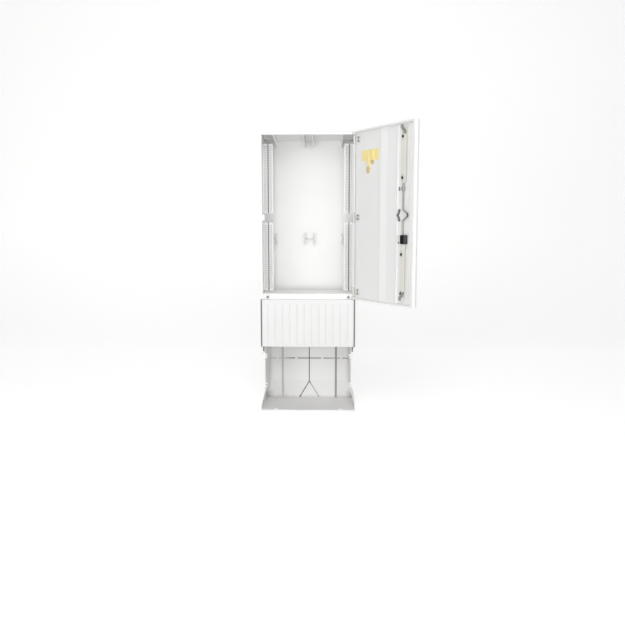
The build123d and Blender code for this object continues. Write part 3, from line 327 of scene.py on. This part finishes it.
def makePolyester(name, look):
    material, tree, shader, vector = startMaterial(name)
    grain = useGroup(tree, pressedGrain, (-1000, 200), vector, Mottle_Scale=look["mottleScale"],
                     Pebble_Scale=look["pebbleScale"], Strand_Scale=look["strandScale"])
    dust = useGroup(tree, settledDust, (-1000, -100), vector, Amount=look["dust"], Scale=look["dustScale"])
    edge = useGroup(tree, rubbedEdge, (-1000, -400), vector, Radius=look["edgeRadius"],
                    Amount=look["edgeRub"])
    crevice = useGroup(tree, paintedCreviceShade, (-1000, -650), vector, Reach=look["creviceReach"],
                       Open=look["creviceOpen"], Closed=look["creviceClosed"], Amount=look["creviceAmount"])
    body = mixColour(tree, (-650, 300), grain["Mottle"], look["colour"], look["shade"])
    strandShow = spread(tree, (-650, 60), grain["Strand"], 0.0, look["strandShow"])
    colour = mixColour(tree, (-450, 300), strandShow, body, look["strandColour"])
    colour = mixColour(tree, (-250, 300), dust["Mask"], colour, look["dustColour"])
    colour = mixColour(tree, (-60, 300), edge["Mask"], colour, look["edgeColour"])
    # painted shade: darker in crevices and corners, where shade falls
    colour = mixColour(tree, (120, 300), crevice["Mask"], colour, look["creviceShadeColour"])
    # painted shade: the scored lines' floors are darkened
    if "scored" in look:
        line = scoredShadeColour(tree, vector, look["scored"])
        colour = mixColour(tree, (300, 300), scoredShadeMask(tree, vector, look["scored"]), colour, line)
    # painted shade: the rails' slot floors are darkened
    if "slot" in look:
        shadow = slotShadeMask(tree, vector, look["slot"])
        colour = mixColour(tree, (300, 300), shadow, colour, look["slot"]["colour"])
    if "farSide" in look:
        side = farSideMask(tree, vector, look["farSide"])
        colour = mixColour(tree, (300, 300), side, colour, look["farSide"]["colour"])
    wire(tree, colour, shader.inputs["Base Color"])
    wire(tree, spread(tree, (-450, 0), grain["Mottle"], *look["roughness"]), shader.inputs["Roughness"])
    pebbled = addBump(tree, (-250, -300), grain["Pebble"], look["bump"], look["bumpDepth"], edge["Normal"])
    wire(tree, pebbled, shader.inputs["Normal"])
    shader.inputs["Specular IOR Level"].default_value = look["gloss"]
    return material


housingLook = {
    "colour": (0.940, 0.940, 0.935), "shade": (0.920, 0.920, 0.914), "mottleScale": 5.0, "pebbleScale": 900.0,
    "strandColour": (0.87, 0.87, 0.86), "strandShow": 0.12, "strandScale": 90.0,
    "roughness": (0.36, 0.52), "gloss": 0.45, "bump": 0.18, "bumpDepth": 0.0003,
    "dust": 0.14, "dustScale": 14.0, "dustColour": (0.80, 0.79, 0.77),
    "edgeRadius": 0.0016, "edgeRub": 0.3, "edgeColour": (0.93, 0.93, 0.92),
    "creviceReach": 0.010, "creviceOpen": 0.62, "creviceClosed": 0.22, "creviceAmount": 0.3,
    "creviceShadeColour": (0.42, 0.42, 0.41),
}
# painted light: the rear wall and roof are toned darker than the housing shell, whose side walls are toned
# paler, to even out how strongly light falls on them
rearLook = dict(housingLook, colour=(0.890, 0.890, 0.885), shade=(0.870, 0.870, 0.864))
roofLook = dict(rearLook)
doorLook = dict(housingLook, colour=(0.890, 0.890, 0.886), shade=(0.868, 0.868, 0.864), mottleScale=4.0)
# painted shade: the cover's crevice shade darkens its grooves
coverLook = dict(housingLook, colour=(0.835, 0.835, 0.831), shade=(0.812, 0.812, 0.808), mottleScale=7.0,
                 dust=0.2, creviceReach=0.014, creviceOpen=0.93, creviceClosed=0.55, creviceAmount=0.4,
                 creviceShadeColour=(0.45, 0.45, 0.44))
# painted shade: the rails' crevice shade and dark slot floors stand in for shade inside the channel
railLook = dict(housingLook, pebbleScale=1400.0, edgeRadius=0.0006, creviceReach=0.030, creviceAmount=0.45,
                creviceShadeColour=(0.36, 0.36, 0.35),
                slot={"middle": 0.258, "half": 0.0019, "fade": 0.0012, "colour": (0.10, 0.10, 0.10)})
clipLook = dict(housingLook, colour=(0.740, 0.740, 0.728), shade=(0.700, 0.700, 0.686), edgeRadius=0.0006)
guideLook = dict(clipLook, farSide={"from": 0.452, "to": 0.456, "colour": (0.42, 0.42, 0.40)})
baseLook = dict(housingLook, colour=(0.925, 0.921, 0.910), shade=(0.900, 0.896, 0.884), dust=0.2,
                dustScale=9.0, strandShow=0.2, roughness=(0.40, 0.58))
# painted light: the foot plate is toned paler than the base because less light reaches it
footLook = dict(baseLook, colour=(0.945, 0.942, 0.934), shade=(0.925, 0.922, 0.913), dust=0.1)
# painted light and shade: the line colours stand in for shade in the grooves and for light falling into them
# from one side
scoredLines = {  # metres; the depths count from the wall's inner face at the waist
    "innerFace": 0.135, "floorFrom": 0.0008, "floorTo": 0.0022, "backFrom": 0.0047, "backTo": 0.0040,
    "flareTop": 0.140, "flareBottom": 0.042, "flareSpread": 0.025, "colour": (0.16, 0.155, 0.145),
    "paleFrom": 0.12, "paleTo": 0.16, "leftPale": (0.66, 0.655, 0.64), "rightPale": (0.40, 0.395, 0.385),
    "armFrom": 0.006, "armTo": 0.014, "armTop": 0.20, "armFade": 0.01, "armPale": (0.50, 0.495, 0.48),
}
# painted shadow: the wide crevice reach darkens the base's rear wall below the cover, where its shadow falls
scoredLook = dict(baseLook, scored=scoredLines, creviceReach=0.06, creviceOpen=0.72, creviceClosed=0.30,
                  creviceAmount=0.8, creviceShadeColour=(0.28, 0.27, 0.25))
hingeLook = dict(housingLook, colour=(0.700, 0.700, 0.670), shade=(0.650, 0.650, 0.620), pebbleScale=1400.0,
                 roughness=(0.38, 0.52), edgeRub=0.6, edgeRadius=0.0006, creviceReach=0.006)


def makeBlackMoulding(name, look):
    material, tree, shader, vector = startMaterial(name)
    grain = useGroup(tree, pressedGrain, (-1000, 200), vector, Mottle_Scale=look["mottleScale"],
                     Pebble_Scale=look["pebbleScale"])
    edge = useGroup(tree, rubbedEdge, (-1000, -300), vector, Radius=look["edgeRadius"],
                    Amount=look["edgeRub"])
    colour = mixColour(tree, (-500, 300), grain["Mottle"], look["colour"], look["shade"])
    # on the lock case this is painted light: grey beyond the line stands in for a lit side face
    if "farSide" in look:
        side = farSideMask(tree, vector, look["farSide"])
        colour = mixColour(tree, (-380, 450), side, colour, look["farSide"]["colour"])
    colour = mixColour(tree, (-250, 300), edge["Mask"], colour, look["edgeColour"])
    wire(tree, colour, shader.inputs["Base Color"])
    wire(tree, spread(tree, (-500, 0), grain["Mottle"], *look["roughness"]), shader.inputs["Roughness"])
    pebbled = addBump(tree, (-250, -300), grain["Pebble"], look["bump"], look["bumpDepth"], edge["Normal"])
    wire(tree, pebbled, shader.inputs["Normal"])
    shader.inputs["Specular IOR Level"].default_value = look["gloss"]
    return material


lockLook = {
    "colour": (0.020, 0.020, 0.021), "shade": (0.034, 0.034, 0.035), "mottleScale": 40.0,
    "edgeColour": (0.10, 0.10, 0.10), "edgeRub": 0.7, "edgeRadius": 0.0009,
    "roughness": (0.36, 0.55), "gloss": 0.4, "pebbleScale": 1600.0, "bump": 0.25, "bumpDepth": 0.0002,
}
# painted light: beyond a line along the door the black case is toned grey, standing in for its lit side face
caseLook = dict(lockLook, colour=(0.004, 0.004, 0.004), shade=(0.008, 0.008, 0.008), gloss=0.06,
                edgeColour=(0.05, 0.05, 0.05),
                farSide={"from": 0.484, "to": 0.486, "colour": (0.075, 0.075, 0.077)})
handleLook = dict(lockLook, roughness=(0.28, 0.48), edgeRub=0.9)
bufferLook = dict(lockLook, colour=(0.16, 0.16, 0.16), shade=(0.21, 0.21, 0.208),
                  edgeColour=(0.34, 0.34, 0.34))
# painted shade: the seal's dark colour also stands in for the shade along the cover's side edges
sealLook = dict(lockLook, colour=(0.17, 0.17, 0.17), shade=(0.21, 0.209, 0.207), roughness=(0.68, 0.86),
                edgeRub=0.3, bump=0.4)


def makePlatedMetal(name, look):
    material, tree, shader, vector = startMaterial(name)
    stretch = addNode(tree, "ShaderNodeMapping", (-1100, 300))
    stretch.inputs["Scale"].default_value = look["brush"]
    wire(tree, vector, stretch.inputs["Vector"])
    lines = addNoise(tree, (-900, 300), stretch.outputs["Vector"], look["brushScale"], look["brushDetail"])
    bloom = addNode(tree, "ShaderNodeTexVoronoi", (-900, 0))
    bloom.inputs["Scale"].default_value = look["bloomScale"]
    wire(tree, vector, bloom.inputs["Vector"])
    edge = useGroup(tree, rubbedEdge, (-900, -300), vector, Radius=look["edgeRadius"], Amount=look["edgeRub"])
    body = mixColour(tree, (-550, 300), lines, look["colour"], look["shade"])
    bloomShow = spread(tree, (-650, 60), bloom.outputs["Distance"], 0.0, look["bloom"])
    colour = mixColour(tree, (-350, 300), bloomShow, body, look["bloomColour"])
    if "farSide" in look:
        side = farSideMask(tree, vector, look["farSide"])
        colour = mixColour(tree, (-250, 450), side, colour, look["farSide"]["colour"])
    colour = mixColour(tree, (-150, 300), edge["Mask"], colour, look["edgeColour"])
    wire(tree, colour, shader.inputs["Base Color"])
    wire(tree, spread(tree, (-450, 0), lines, *look["roughness"]), shader.inputs["Roughness"])
    shader.inputs["Metallic"].default_value = look["metallic"]
    brushed = addBump(tree, (-250, -300), lines, look["bump"], look["bumpDepth"], edge["Normal"])
    wire(tree, brushed, shader.inputs["Normal"])
    return material


barLook = {
    "colour": (0.79, 0.78, 0.72), "shade": (0.72, 0.71, 0.64), "metallic": 0.3, "roughness": (0.36, 0.56),
    "brush": (1.0, 1.0, 0.04), "brushScale": 420.0, "brushDetail": 5.0, "bump": 0.15, "bumpDepth": 0.0001,
    "bloomColour": (0.83, 0.82, 0.77), "bloom": 0.4, "bloomScale": 180.0,
    "edgeColour": (0.86, 0.85, 0.81), "edgeRub": 0.6, "edgeRadius": 0.0007,
}
rodLook = dict(barLook, colour=(0.36, 0.36, 0.34), shade=(0.27, 0.27, 0.25), bloomColour=(0.44, 0.44, 0.41),
               edgeColour=(0.60, 0.60, 0.57), metallic=0.6)
bentRodLook = dict(rodLook, farSide={"from": 0.498, "to": 0.510, "colour": (0.070, 0.070, 0.068)})
screwLook = dict(barLook, colour=(0.60, 0.60, 0.59), shade=(0.50, 0.50, 0.49), bloomColour=(0.68, 0.68, 0.66),
                 edgeColour=(0.78, 0.78, 0.76), metallic=0.8, brush=(1.0, 1.0, 1.0))
darkScrewLook = dict(screwLook, colour=(0.060, 0.060, 0.060), shade=(0.040, 0.040, 0.040),
                     bloomColour=(0.10, 0.10, 0.10), edgeColour=(0.30, 0.30, 0.29), metallic=0.6)
keyLook = dict(barLook, colour=(0.80, 0.62, 0.24), shade=(0.68, 0.50, 0.17), bloomColour=(0.86, 0.72, 0.38),
               edgeColour=(0.92, 0.80, 0.50), metallic=0.4, roughness=(0.30, 0.48))


def makeTapeFinish(name, look):
    material, tree, shader, vector = startMaterial(name)
    blotch = addNoise(tree, (-900, 200), vector, look["blotchScale"], look["blotchDetail"])
    crease = addNoise(tree, (-900, -150), vector, look["creaseScale"], look["creaseDetail"])
    colour = mixColour(tree, (-450, 200), blotch, look["colour"], look["shade"])
    wire(tree, colour, shader.inputs["Base Color"])
    wire(tree, spread(tree, (-650, -20), crease, *look["roughness"]), shader.inputs["Roughness"])
    creased = addBump(tree, (-250, -200), crease, look["bump"], look["bumpDepth"])
    wire(tree, creased, shader.inputs["Normal"])
    return material


tapeLook = {
    "colour": (0.99, 0.86, 0.41), "shade": (0.97, 0.79, 0.31), "blotchScale": 45.0, "blotchDetail": 4.0,
    "creaseScale": 160.0, "creaseDetail": 6.0, "roughness": (0.30, 0.55), "bump": 0.5, "bumpDepth": 0.0004,
}

finishes = {
    "housing_shell": makePolyester("housingPolyester", housingLook),
    "door_shell": makePolyester("doorPolyester", doorLook),
    "cover_shell": makePolyester("coverPolyester", coverLook),
    "rail_plastic": makePolyester("railMoulding", railLook),
    "clip_plastic": makePolyester("clipMoulding", clipLook),
    "rear_wall": makePolyester("rearPolyester", rearLook),
    "roof_cap": makePolyester("roofPolyester", roofLook),
    "base_shell": makePolyester("basePolyester", baseLook),
    "foot_plate": makePolyester("footPolyester", footLook),
    "scored_wall": makePolyester("scoredPolyester", scoredLook),
    "hinge_metal": makePolyester("hingeCasting", hingeLook),
    "lock_black": makeBlackMoulding("lockMoulding", lockLook),
    "case_black": makeBlackMoulding("caseMoulding", caseLook),
    "buffer_black": makeBlackMoulding("bufferMoulding", bufferLook),
    "guide_plastic": makePolyester("guideMoulding", guideLook),
    "handle_black": makeBlackMoulding("handleMoulding", handleLook),
    "seal_rubber": makeBlackMoulding("sealRubber", sealLook),
    "bar_zinc": makePlatedMetal("passivatedZinc", barLook),
    "rod_steel": makePlatedMetal("dullRodSteel", rodLook),
    "bent_rod": makePlatedMetal("bentRodSteel", bentRodLook),
    "fastener_steel": makePlatedMetal("screwZinc", screwLook),
    "dark_screw": makePlatedMetal("screwBlack", darkScrewLook),
    "cam_steel": makePlatedMetal("camSteel", screwLook),
    "key_brass": makePlatedMetal("keyBrass", keyLook),
    "tape_yellow": makeTapeFinish("paperTape", tapeLook),
}
ownFinishes = {  # nodes that differ from their slot's finish
    "rear_wall": "rear_wall", "roof": "roof_cap", "base_floor": "foot_plate", "base_rear_wall": "scored_wall",
    "lock_case": "case_black", "middle_buffer": "buffer_black", "rod_guide": "guide_plastic",
    "upper_rod": "bent_rod",
}
for subpart in frame["record"]["subparts"]:
    name = subpart["node"]
    materials = nodes[name].data.materials
    materials.clear()
    materials.append(finishes[ownFinishes.get(name, subpart["material_slot"])])
print("finishes placed on", len(nodes), "nodes")


def addPiece(name, mesh, body, replaced=()):
    piece = bpy.data.objects.new(name, mesh)
    scene.collection.objects.link(piece)
    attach(piece, body)
    if replaced:
        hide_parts(*replaced)
    return piece


# cross-recessed screw heads, one tree for every group of screws
screwHead = {
    "sides": 20, "crown": 0.72, "seed": 7, "finish": "dark_screw", "slot": "fastener_steel",
    "recessLength": 0.62, "recessWidth": 0.17,  # half sizes, as shares of the radius
    "recessDepth": 0.62, "recessLift": 0.75,    # half depth and middle, as shares of the height
}


def makeScrewTree():
    tree = bpy.data.node_groups.new("crossHeadScrews", "GeometryNodeTree")
    tree.interface.new_socket("Geometry", in_out="OUTPUT", socket_type="NodeSocketGeometry")
    tree.interface.new_socket("Seats", in_out="INPUT", socket_type="NodeSocketGeometry")
    sockets = {}
    for label, kind in (("Facing", "NodeSocketVector"), ("Radius", "NodeSocketFloat"),
                        ("Height", "NodeSocketFloat"), ("Finish", "NodeSocketMaterial")):
        sockets[label] = tree.interface.new_socket(label, in_out="INPUT", socket_type=kind).identifier
    start = addNode(tree, "NodeGroupInput", (-1200, 0)).outputs
    end = addNode(tree, "NodeGroupOutput", (1100, 0))
    half = maths(tree, (-1000, 300), "MULTIPLY", start["Height"], 0.5)
    barrel = addNode(tree, "GeometryNodeMeshCylinder", (-800, 300), fill_type="NGON")
    barrel.inputs["Vertices"].default_value = screwHead["sides"]
    wire(tree, start["Radius"], barrel.inputs["Radius"])
    wire(tree, half, barrel.inputs["Depth"])
    dome = addNode(tree, "GeometryNodeExtrudeMesh", (-600, 300), mode="FACES")
    wire(tree, barrel.outputs["Mesh"], dome.inputs["Mesh"])
    wire(tree, barrel.outputs["Top"], dome.inputs["Selection"])
    wire(tree, half, dome.inputs["Offset Scale"])
    crown = addNode(tree, "GeometryNodeScaleElements", (-400, 300))
    wire(tree, dome.outputs["Mesh"], crown.inputs["Geometry"])
    wire(tree, dome.outputs["Top"], crown.inputs["Selection"])
    crown.inputs["Scale"].default_value = screwHead["crown"]
    # the recess: two crossed bars sunk into the crown
    long = maths(tree, (-1000, -100), "MULTIPLY", start["Radius"], 2.0 * screwHead["recessLength"])
    short = maths(tree, (-1000, -250), "MULTIPLY", start["Radius"], 2.0 * screwHead["recessWidth"])
    deep = maths(tree, (-1000, -400), "MULTIPLY", start["Height"], 2.0 * screwHead["recessDepth"])
    lift = maths(tree, (-1000, -550), "MULTIPLY", start["Height"], screwHead["recessLift"])
    rise = addNode(tree, "ShaderNodeCombineXYZ", (-800, -550))
    wire(tree, lift, rise.inputs["Z"])
    cut = addNode(tree, "GeometryNodeMeshBoolean", (0, 200), operation="DIFFERENCE")
    wire(tree, crown.outputs["Geometry"], cut.inputs["Mesh 1"])
    for level, first, second in ((-100, long, short), (-250, short, long)):
        size = addNode(tree, "ShaderNodeCombineXYZ", (-800, level))
        wire(tree, first, size.inputs["X"])
        wire(tree, second, size.inputs["Y"])
        wire(tree, deep, size.inputs["Z"])
        bar = addNode(tree, "GeometryNodeMeshCube", (-600, level))
        wire(tree, size.outputs["Vector"], bar.inputs["Size"])
        sunk = addNode(tree, "GeometryNodeTransform", (-400, level))
        wire(tree, bar.outputs["Mesh"], sunk.inputs["Geometry"])
        wire(tree, rise.outputs["Vector"], sunk.inputs["Translation"])
        wire(tree, sunk.outputs["Geometry"], cut.inputs["Mesh 2"])
    # each screw stops at its own turn
    turn = addNode(tree, "FunctionNodeRandomValue", (0, -250), data_type="FLOAT")
    turn.inputs[3].default_value = math.pi
    turn.inputs["Seed"].default_value = screwHead["seed"]
    upright = addNode(tree, "FunctionNodeAlignRotationToVector", (0, -50), axis="Z")
    wire(tree, start["Facing"], upright.inputs["Vector"])
    spin = addNode(tree, "FunctionNodeAxisAngleToRotation", (200, -250))
    spin.inputs["Axis"].default_value = (0.0, 0.0, 1.0)
    wire(tree, turn.outputs[1], spin.inputs["Angle"])
    turned = addNode(tree, "FunctionNodeRotateRotation", (400, -100), rotation_space="LOCAL")
    wire(tree, upright.outputs["Rotation"], turned.inputs["Rotation"])
    wire(tree, spin.outputs["Rotation"], turned.inputs["Rotate By"])
    placed = addNode(tree, "GeometryNodeInstanceOnPoints", (600, 100))
    wire(tree, start["Seats"], placed.inputs["Points"])
    wire(tree, cut.outputs["Mesh"], placed.inputs["Instance"])
    wire(tree, turned.outputs["Rotation"], placed.inputs["Rotation"])
    real = addNode(tree, "GeometryNodeRealizeInstances", (780, 100))
    wire(tree, placed.outputs["Instances"], real.inputs["Geometry"])
    coated = addNode(tree, "GeometryNodeSetMaterial", (940, 100))
    wire(tree, real.outputs["Geometry"], coated.inputs["Geometry"])
    wire(tree, start["Finish"], coated.inputs["Material"])
    wire(tree, coated.outputs["Geometry"], end.inputs["Geometry"])
    return tree, sockets


screwTree, screwSockets = makeScrewTree()


def setScrews(name, seats, facing, size, body, replaced=()):
    # the barrel is centred on its seat, so the seat is lifted by a quarter of the head
    lifted = [Vector(seat) + Vector(facing) * (size["height"] * 0.25) for seat in seats]
    mesh = bpy.data.meshes.new(name + "Seats")
    mesh.from_pydata(lifted, [], [])
    holder = bpy.data.objects.new(name + "Seats", mesh)
    scene.collection.objects.link(holder)
    maker = holder.modifiers.new("heads", "NODES")
    maker.node_group = screwTree
    for label, value in (("Facing", tuple(facing)), ("Radius", size["radius"]), ("Height", size["height"]),
                         ("Finish", finishes[screwHead["finish"]])):
        maker[screwSockets[label]] = value
    graph = bpy.context.evaluated_depsgraph_get()
    heads = bpy.data.meshes.new_from_object(holder.evaluated_get(graph))
    heads.name = name
    bpy.data.objects.remove(holder)
    addPiece(name, heads, body, replaced)


def middleHeight(node):
    low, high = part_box(node)
    return (low[2] + high[2]) / 2


coverScrews = {"radius": 0.006, "height": 0.0025}
coverLow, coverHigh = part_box("cover_screws")
coverSides = (coverLow[0] + coverScrews["radius"], coverHigh[0] - coverScrews["radius"])
setScrews("coverScrewHeads",
          [(x, coverLow[1] + coverScrews["height"], middleHeight("cover_screws")) for x in coverSides],
          (0.0, -1.0, 0.0), coverScrews, "housing", ("cover_screws",))
hingeScrews = {"radius": 0.005, "height": 0.0025, "leafAlong": 0.038, "leafRise": 0.010, "leafSeat": 0.009}
hingeLevels = [middleHeight(level + "_hinge_bracket") for level in ("lower", "middle", "upper")]
bracketLow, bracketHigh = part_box("bracket_screws")
bracketDepths = (bracketLow[1] + hingeScrews["radius"], bracketHigh[1] - hingeScrews["radius"])
setScrews("bracketScrewHeads",
          [(bracketLow[0] + hingeScrews["height"], y, level) for level in hingeLevels for y in bracketDepths],
          (-1.0, 0.0, 0.0), hingeScrews, "housing", ("bracket_screws",))
setScrews("leafScrewHeads",
          [doorPoint(hingeScrews["leafAlong"], hingeScrews["leafSeat"], level + rise)
           for level in hingeLevels for rise in (-hingeScrews["leafRise"], hingeScrews["leafRise"])],
          intoDoor, hingeScrews, "door", ("leaf_screws",))
lockScrews = {  # along the door, seat depth and height of each dark screw beside the lock
    "radius": 0.0048, "height": 0.003,
    "seats": [(0.426, 0.009, 1.078), (0.428, 0.011, 1.3735), (0.428, 0.011, 1.3835), (0.427, 0.010, 1.205),
              (0.427, 0.010, 1.259)],
}
setScrews("lockScrewHeads", [doorPoint(*seat) for seat in lockScrews["seats"]], intoDoor, lockScrews, "door")
print("screws set")

# the strip of tape over the keys: torn edges, creases, and a loose tongue down the longer key
tapeStrip = {
    "along": (0.068, 0.229), "height": (1.556, 1.622), "columns": 110, "rows": 26,
    "sheet": 0.0003, "rest": 0.0002, "tear": 0.0022,
    "ragged": [(160.0, 3.1, 1.0), (520.0, 7.7, 0.5)],  # pitch, noise row and weight
    "lowTear": (0.6, 0.4), "highTear": (0.4, 0.3),     # steady and ragged shares
    "sway": 0.0011, "swayPitch": 240.0, "swayDrift": 2.0, "swayRow": 5.0, "swayWidth": 0.06,
    "crease": 0.000175, "creaseAlong": 70.0, "creaseUp": 150.0, "creaseRow": 1.0,
    "tongueAlong": (0.112, 0.151), "tongueBottom": 1.5215, "tongueSlant": 0.006, "tongueCorner": 0.08,
    "lift": 0.00285, "slope": (0.0015, 0.009),
    "overKeys": [  # middle along, middle height, half width, half height of what lies under the tape
        (0.131, 1.549, 0.0045, 0.023), (0.131, 1.523, 0.007, 0.005), (0.172, 1.551, 0.015, 0.018),
        (0.172, 1.572, 0.007, 0.005), (0.172, 1.598, 0.0045, 0.023)],
}


def smoothStep(low, high, value):
    share = min(max((value - low) / (high - low), 0.0), 1.0)
    return share * share * (3.0 - 2.0 * share)


def tapeLift(along, height):
    nearest = min(math.hypot(max(abs(along - a) - w, 0.0), max(abs(height - h) - t, 0.0))
                  for a, h, w, t in tapeStrip["overKeys"])
    return tapeStrip["lift"] * (1.0 - smoothStep(*tapeStrip["slope"], nearest))


def tapeEdges(along):
    # the lower and upper torn edge at one place along the strip
    tear = tapeStrip["tear"]
    ragged = sum(weight * noise.noise(Vector((along * pitch, row, 0.0)))
                 for pitch, row, weight in tapeStrip["ragged"])
    steady, loose = tapeStrip["lowTear"]
    low = tapeStrip["height"][0] + tear * (steady + loose * ragged)
    steady, loose = tapeStrip["highTear"]
    high = tapeStrip["height"][1] - tear * (steady - loose * ragged)
    left, right = tapeStrip["tongueAlong"]
    inTongue = (along - left) / (right - left)
    if 0.0 < inTongue < 1.0:
        tip = tapeStrip["tongueBottom"] + tapeStrip["tongueSlant"] * inTongue + tear * ragged
        low = low + (tip - low) * smoothStep(0.0, tapeStrip["tongueCorner"], min(inTongue, 1.0 - inTongue))
    return low, high


def tapePoint(share, along, height):
    # both ends sway, and the whole sheet is creased
    swaySpot = (height * tapeStrip["swayPitch"], share * tapeStrip["swayDrift"], tapeStrip["swayRow"])
    sway = tapeStrip["sway"] * noise.noise(Vector(swaySpot))
    creaseSpot = (along * tapeStrip["creaseAlong"], height * tapeStrip["creaseUp"], tapeStrip["creaseRow"])
    crease = tapeStrip["crease"] * (1.0 + noise.noise(Vector(creaseSpot)))
    depth = doorLeaf["skin"] + tapeStrip["rest"] + tapeLift(along, height) + crease
    inner = smoothStep(0.0, tapeStrip["swayWidth"], min(share, 1.0 - share))
    return doorPoint(along + sway * (1.0 - inner), depth, height)


def makeTape():
    bm = bmesh.new()
    first, last = tapeStrip["along"]
    columns, rows = tapeStrip["columns"], tapeStrip["rows"]
    grid = []
    for column in range(columns + 1):
        share = column / columns
        along = first + (last - first) * share
        low, high = tapeEdges(along)
        heights = [low + (high - low) * row / rows for row in range(rows + 1)]
        grid.append([bm.verts.new(tapePoint(share, along, height)) for height in heights])
    for left, right in zip(grid, grid[1:]):
        for row in range(rows):
            bm.faces.new((left[row], right[row], right[row + 1], left[row + 1]))
    bmesh.ops.recalc_face_normals(bm, faces=bm.faces)
    if sum((face.normal.dot(intoDoor) for face in bm.faces), 0.0) < 0.0:
        bmesh.ops.reverse_faces(bm, faces=bm.faces)
    mesh = bpy.data.meshes.new("keyTape")
    bm.to_mesh(mesh)
    bm.free()
    mesh.shade_smooth()
    mesh.materials.append(finishes["tape_yellow"])
    piece = addPiece("keyTape", mesh, "door", ("key_tape",))
    thickness = piece.modifiers.new("sheet", "SOLIDIFY")
    thickness.thickness = tapeStrip["sheet"]
    thickness.offset = 1.0


makeTape()
print("tape laid over the keys")

# camera and studio
cameraView = {"place": (0.1288, -4.3517, 1.1513), "down": 7.0, "turn": 1.37, "lens": 38.80, "sensor": 36.0}
camera = bpy.data.objects.new("camera", bpy.data.cameras.new("camera"))
scene.collection.objects.link(camera)
camera.location = cameraView["place"]
camera.rotation_euler = (math.radians(90.0 - cameraView["down"]), 0.0, math.radians(cameraView["turn"]))
camera.data.sensor_width = cameraView["sensor"]
camera.data.lens = cameraView["lens"]
scene.camera = camera

studio = {
    "floorColour": (0.90, 0.90, 0.895), "floorRoughness": 0.45, "front": -12.0, "halfWidth": 9.0,
    "backdropY": 3.2, "backdropHeight": 5.0, "bend": 1.2, "bendSteps": 12,
    "worldStrength": 0.24, "worldSeen": 1.0, "seenLift": 0.47,
    "lamps": [  # name, place, aim, size, power
        ("keyLamp", (-3.3, -5.2, 1.2), (0.1, 0.0, 0.9), 2.6, 60.0),
        ("fillLamp", (2.2, -5.6, 1.2), (0.1, 0.0, 0.8), 2.2, 28.0),
        ("frontLamp", (0.0, -5.0, 0.35), (0.0, 0.0, 0.9), 1.6, 47.0),
        ("topLamp", (0.0, -4.4, 3.2), (0.0, 0.0, 0.6), 2.2, 50.0),
        ("highLamp", (0.0, -2.8, 4.6), (0.0, 0.0, 0.6), 2.6, 30.0),
    ],
}


def seenRays(tree, low, high):
    # low for plain light, high for what the camera sees directly, in metal or through glass
    rays = addNode(tree, "ShaderNodeLightPath", (-700, 300)).outputs
    mirrored = maths(tree, (-500, 300), "MAXIMUM", rays["Is Glossy Ray"], rays["Is Transmission Ray"])
    seen = maths(tree, (-300, 300), "MAXIMUM", rays["Is Camera Ray"], mirrored)
    return spread(tree, (-150, 300), seen, low, high)


def makeSweep():
    bm = bmesh.new()
    bend, foot = studio["bend"], studio["backdropY"] - studio["bend"]
    profile = [(studio["front"], 0.0), (foot, 0.0)]
    for step in range(1, studio["bendSteps"] + 1):
        turn = math.pi / 2 * step / studio["bendSteps"]
        profile.append((foot + bend * math.sin(turn), bend - bend * math.cos(turn)))
    profile.append((studio["backdropY"], studio["backdropHeight"]))
    left = [bm.verts.new((-studio["halfWidth"], y, z)) for y, z in profile]
    right = [bm.verts.new((studio["halfWidth"], y, z)) for y, z in profile]
    for index in range(len(profile) - 1):
        bm.faces.new((left[index], right[index], right[index + 1], left[index + 1]))
    mesh = bpy.data.meshes.new("paleSweep")
    bm.to_mesh(mesh)
    bm.free()
    mesh.shade_smooth()
    sweep = bpy.data.objects.new("paleSweep", mesh)
    scene.collection.objects.link(sweep)
    material, tree, shader, _ = startMaterial("palePaper")
    shader.inputs["Base Color"].default_value = (*studio["floorColour"], 1.0)
    shader.inputs["Roughness"].default_value = studio["floorRoughness"]
    glow = addNode(tree, "ShaderNodeEmission", (0, 300))
    both = addNode(tree, "ShaderNodeAddShader", (200, 100))
    wire(tree, seenRays(tree, 0.0, studio["seenLift"]), glow.inputs["Strength"])
    wire(tree, shader.outputs["BSDF"], both.inputs[0])
    wire(tree, glow.outputs["Emission"], both.inputs[1])
    wire(tree, both.outputs["Shader"], tree.nodes["Material Output"].inputs["Surface"])
    mesh.materials.append(material)


def lightStudio():
    for name, place, aim, size, power in studio["lamps"]:
        lamp = bpy.data.lights.new(name, "AREA")
        lamp.shape = "DISK"
        lamp.size = size
        lamp.energy = power
        holder = bpy.data.objects.new(name, lamp)
        scene.collection.objects.link(holder)
        holder.location = place
        holder.rotation_euler = (Vector(aim) - Vector(place)).to_track_quat("-Z", "Y").to_euler()
    world = bpy.data.worlds.new("softRoom")
    scene.world = world
    world.use_nodes = True
    tree = world.node_tree
    background = tree.nodes["Background"]
    background.inputs["Color"].default_value = (1.0, 1.0, 1.0, 1.0)
    wire(tree, seenRays(tree, studio["worldStrength"], studio["worldSeen"]), background.inputs["Strength"])
    scene.view_settings.view_transform = "Standard"


makeSweep()
lightStudio()
print("studio ready")
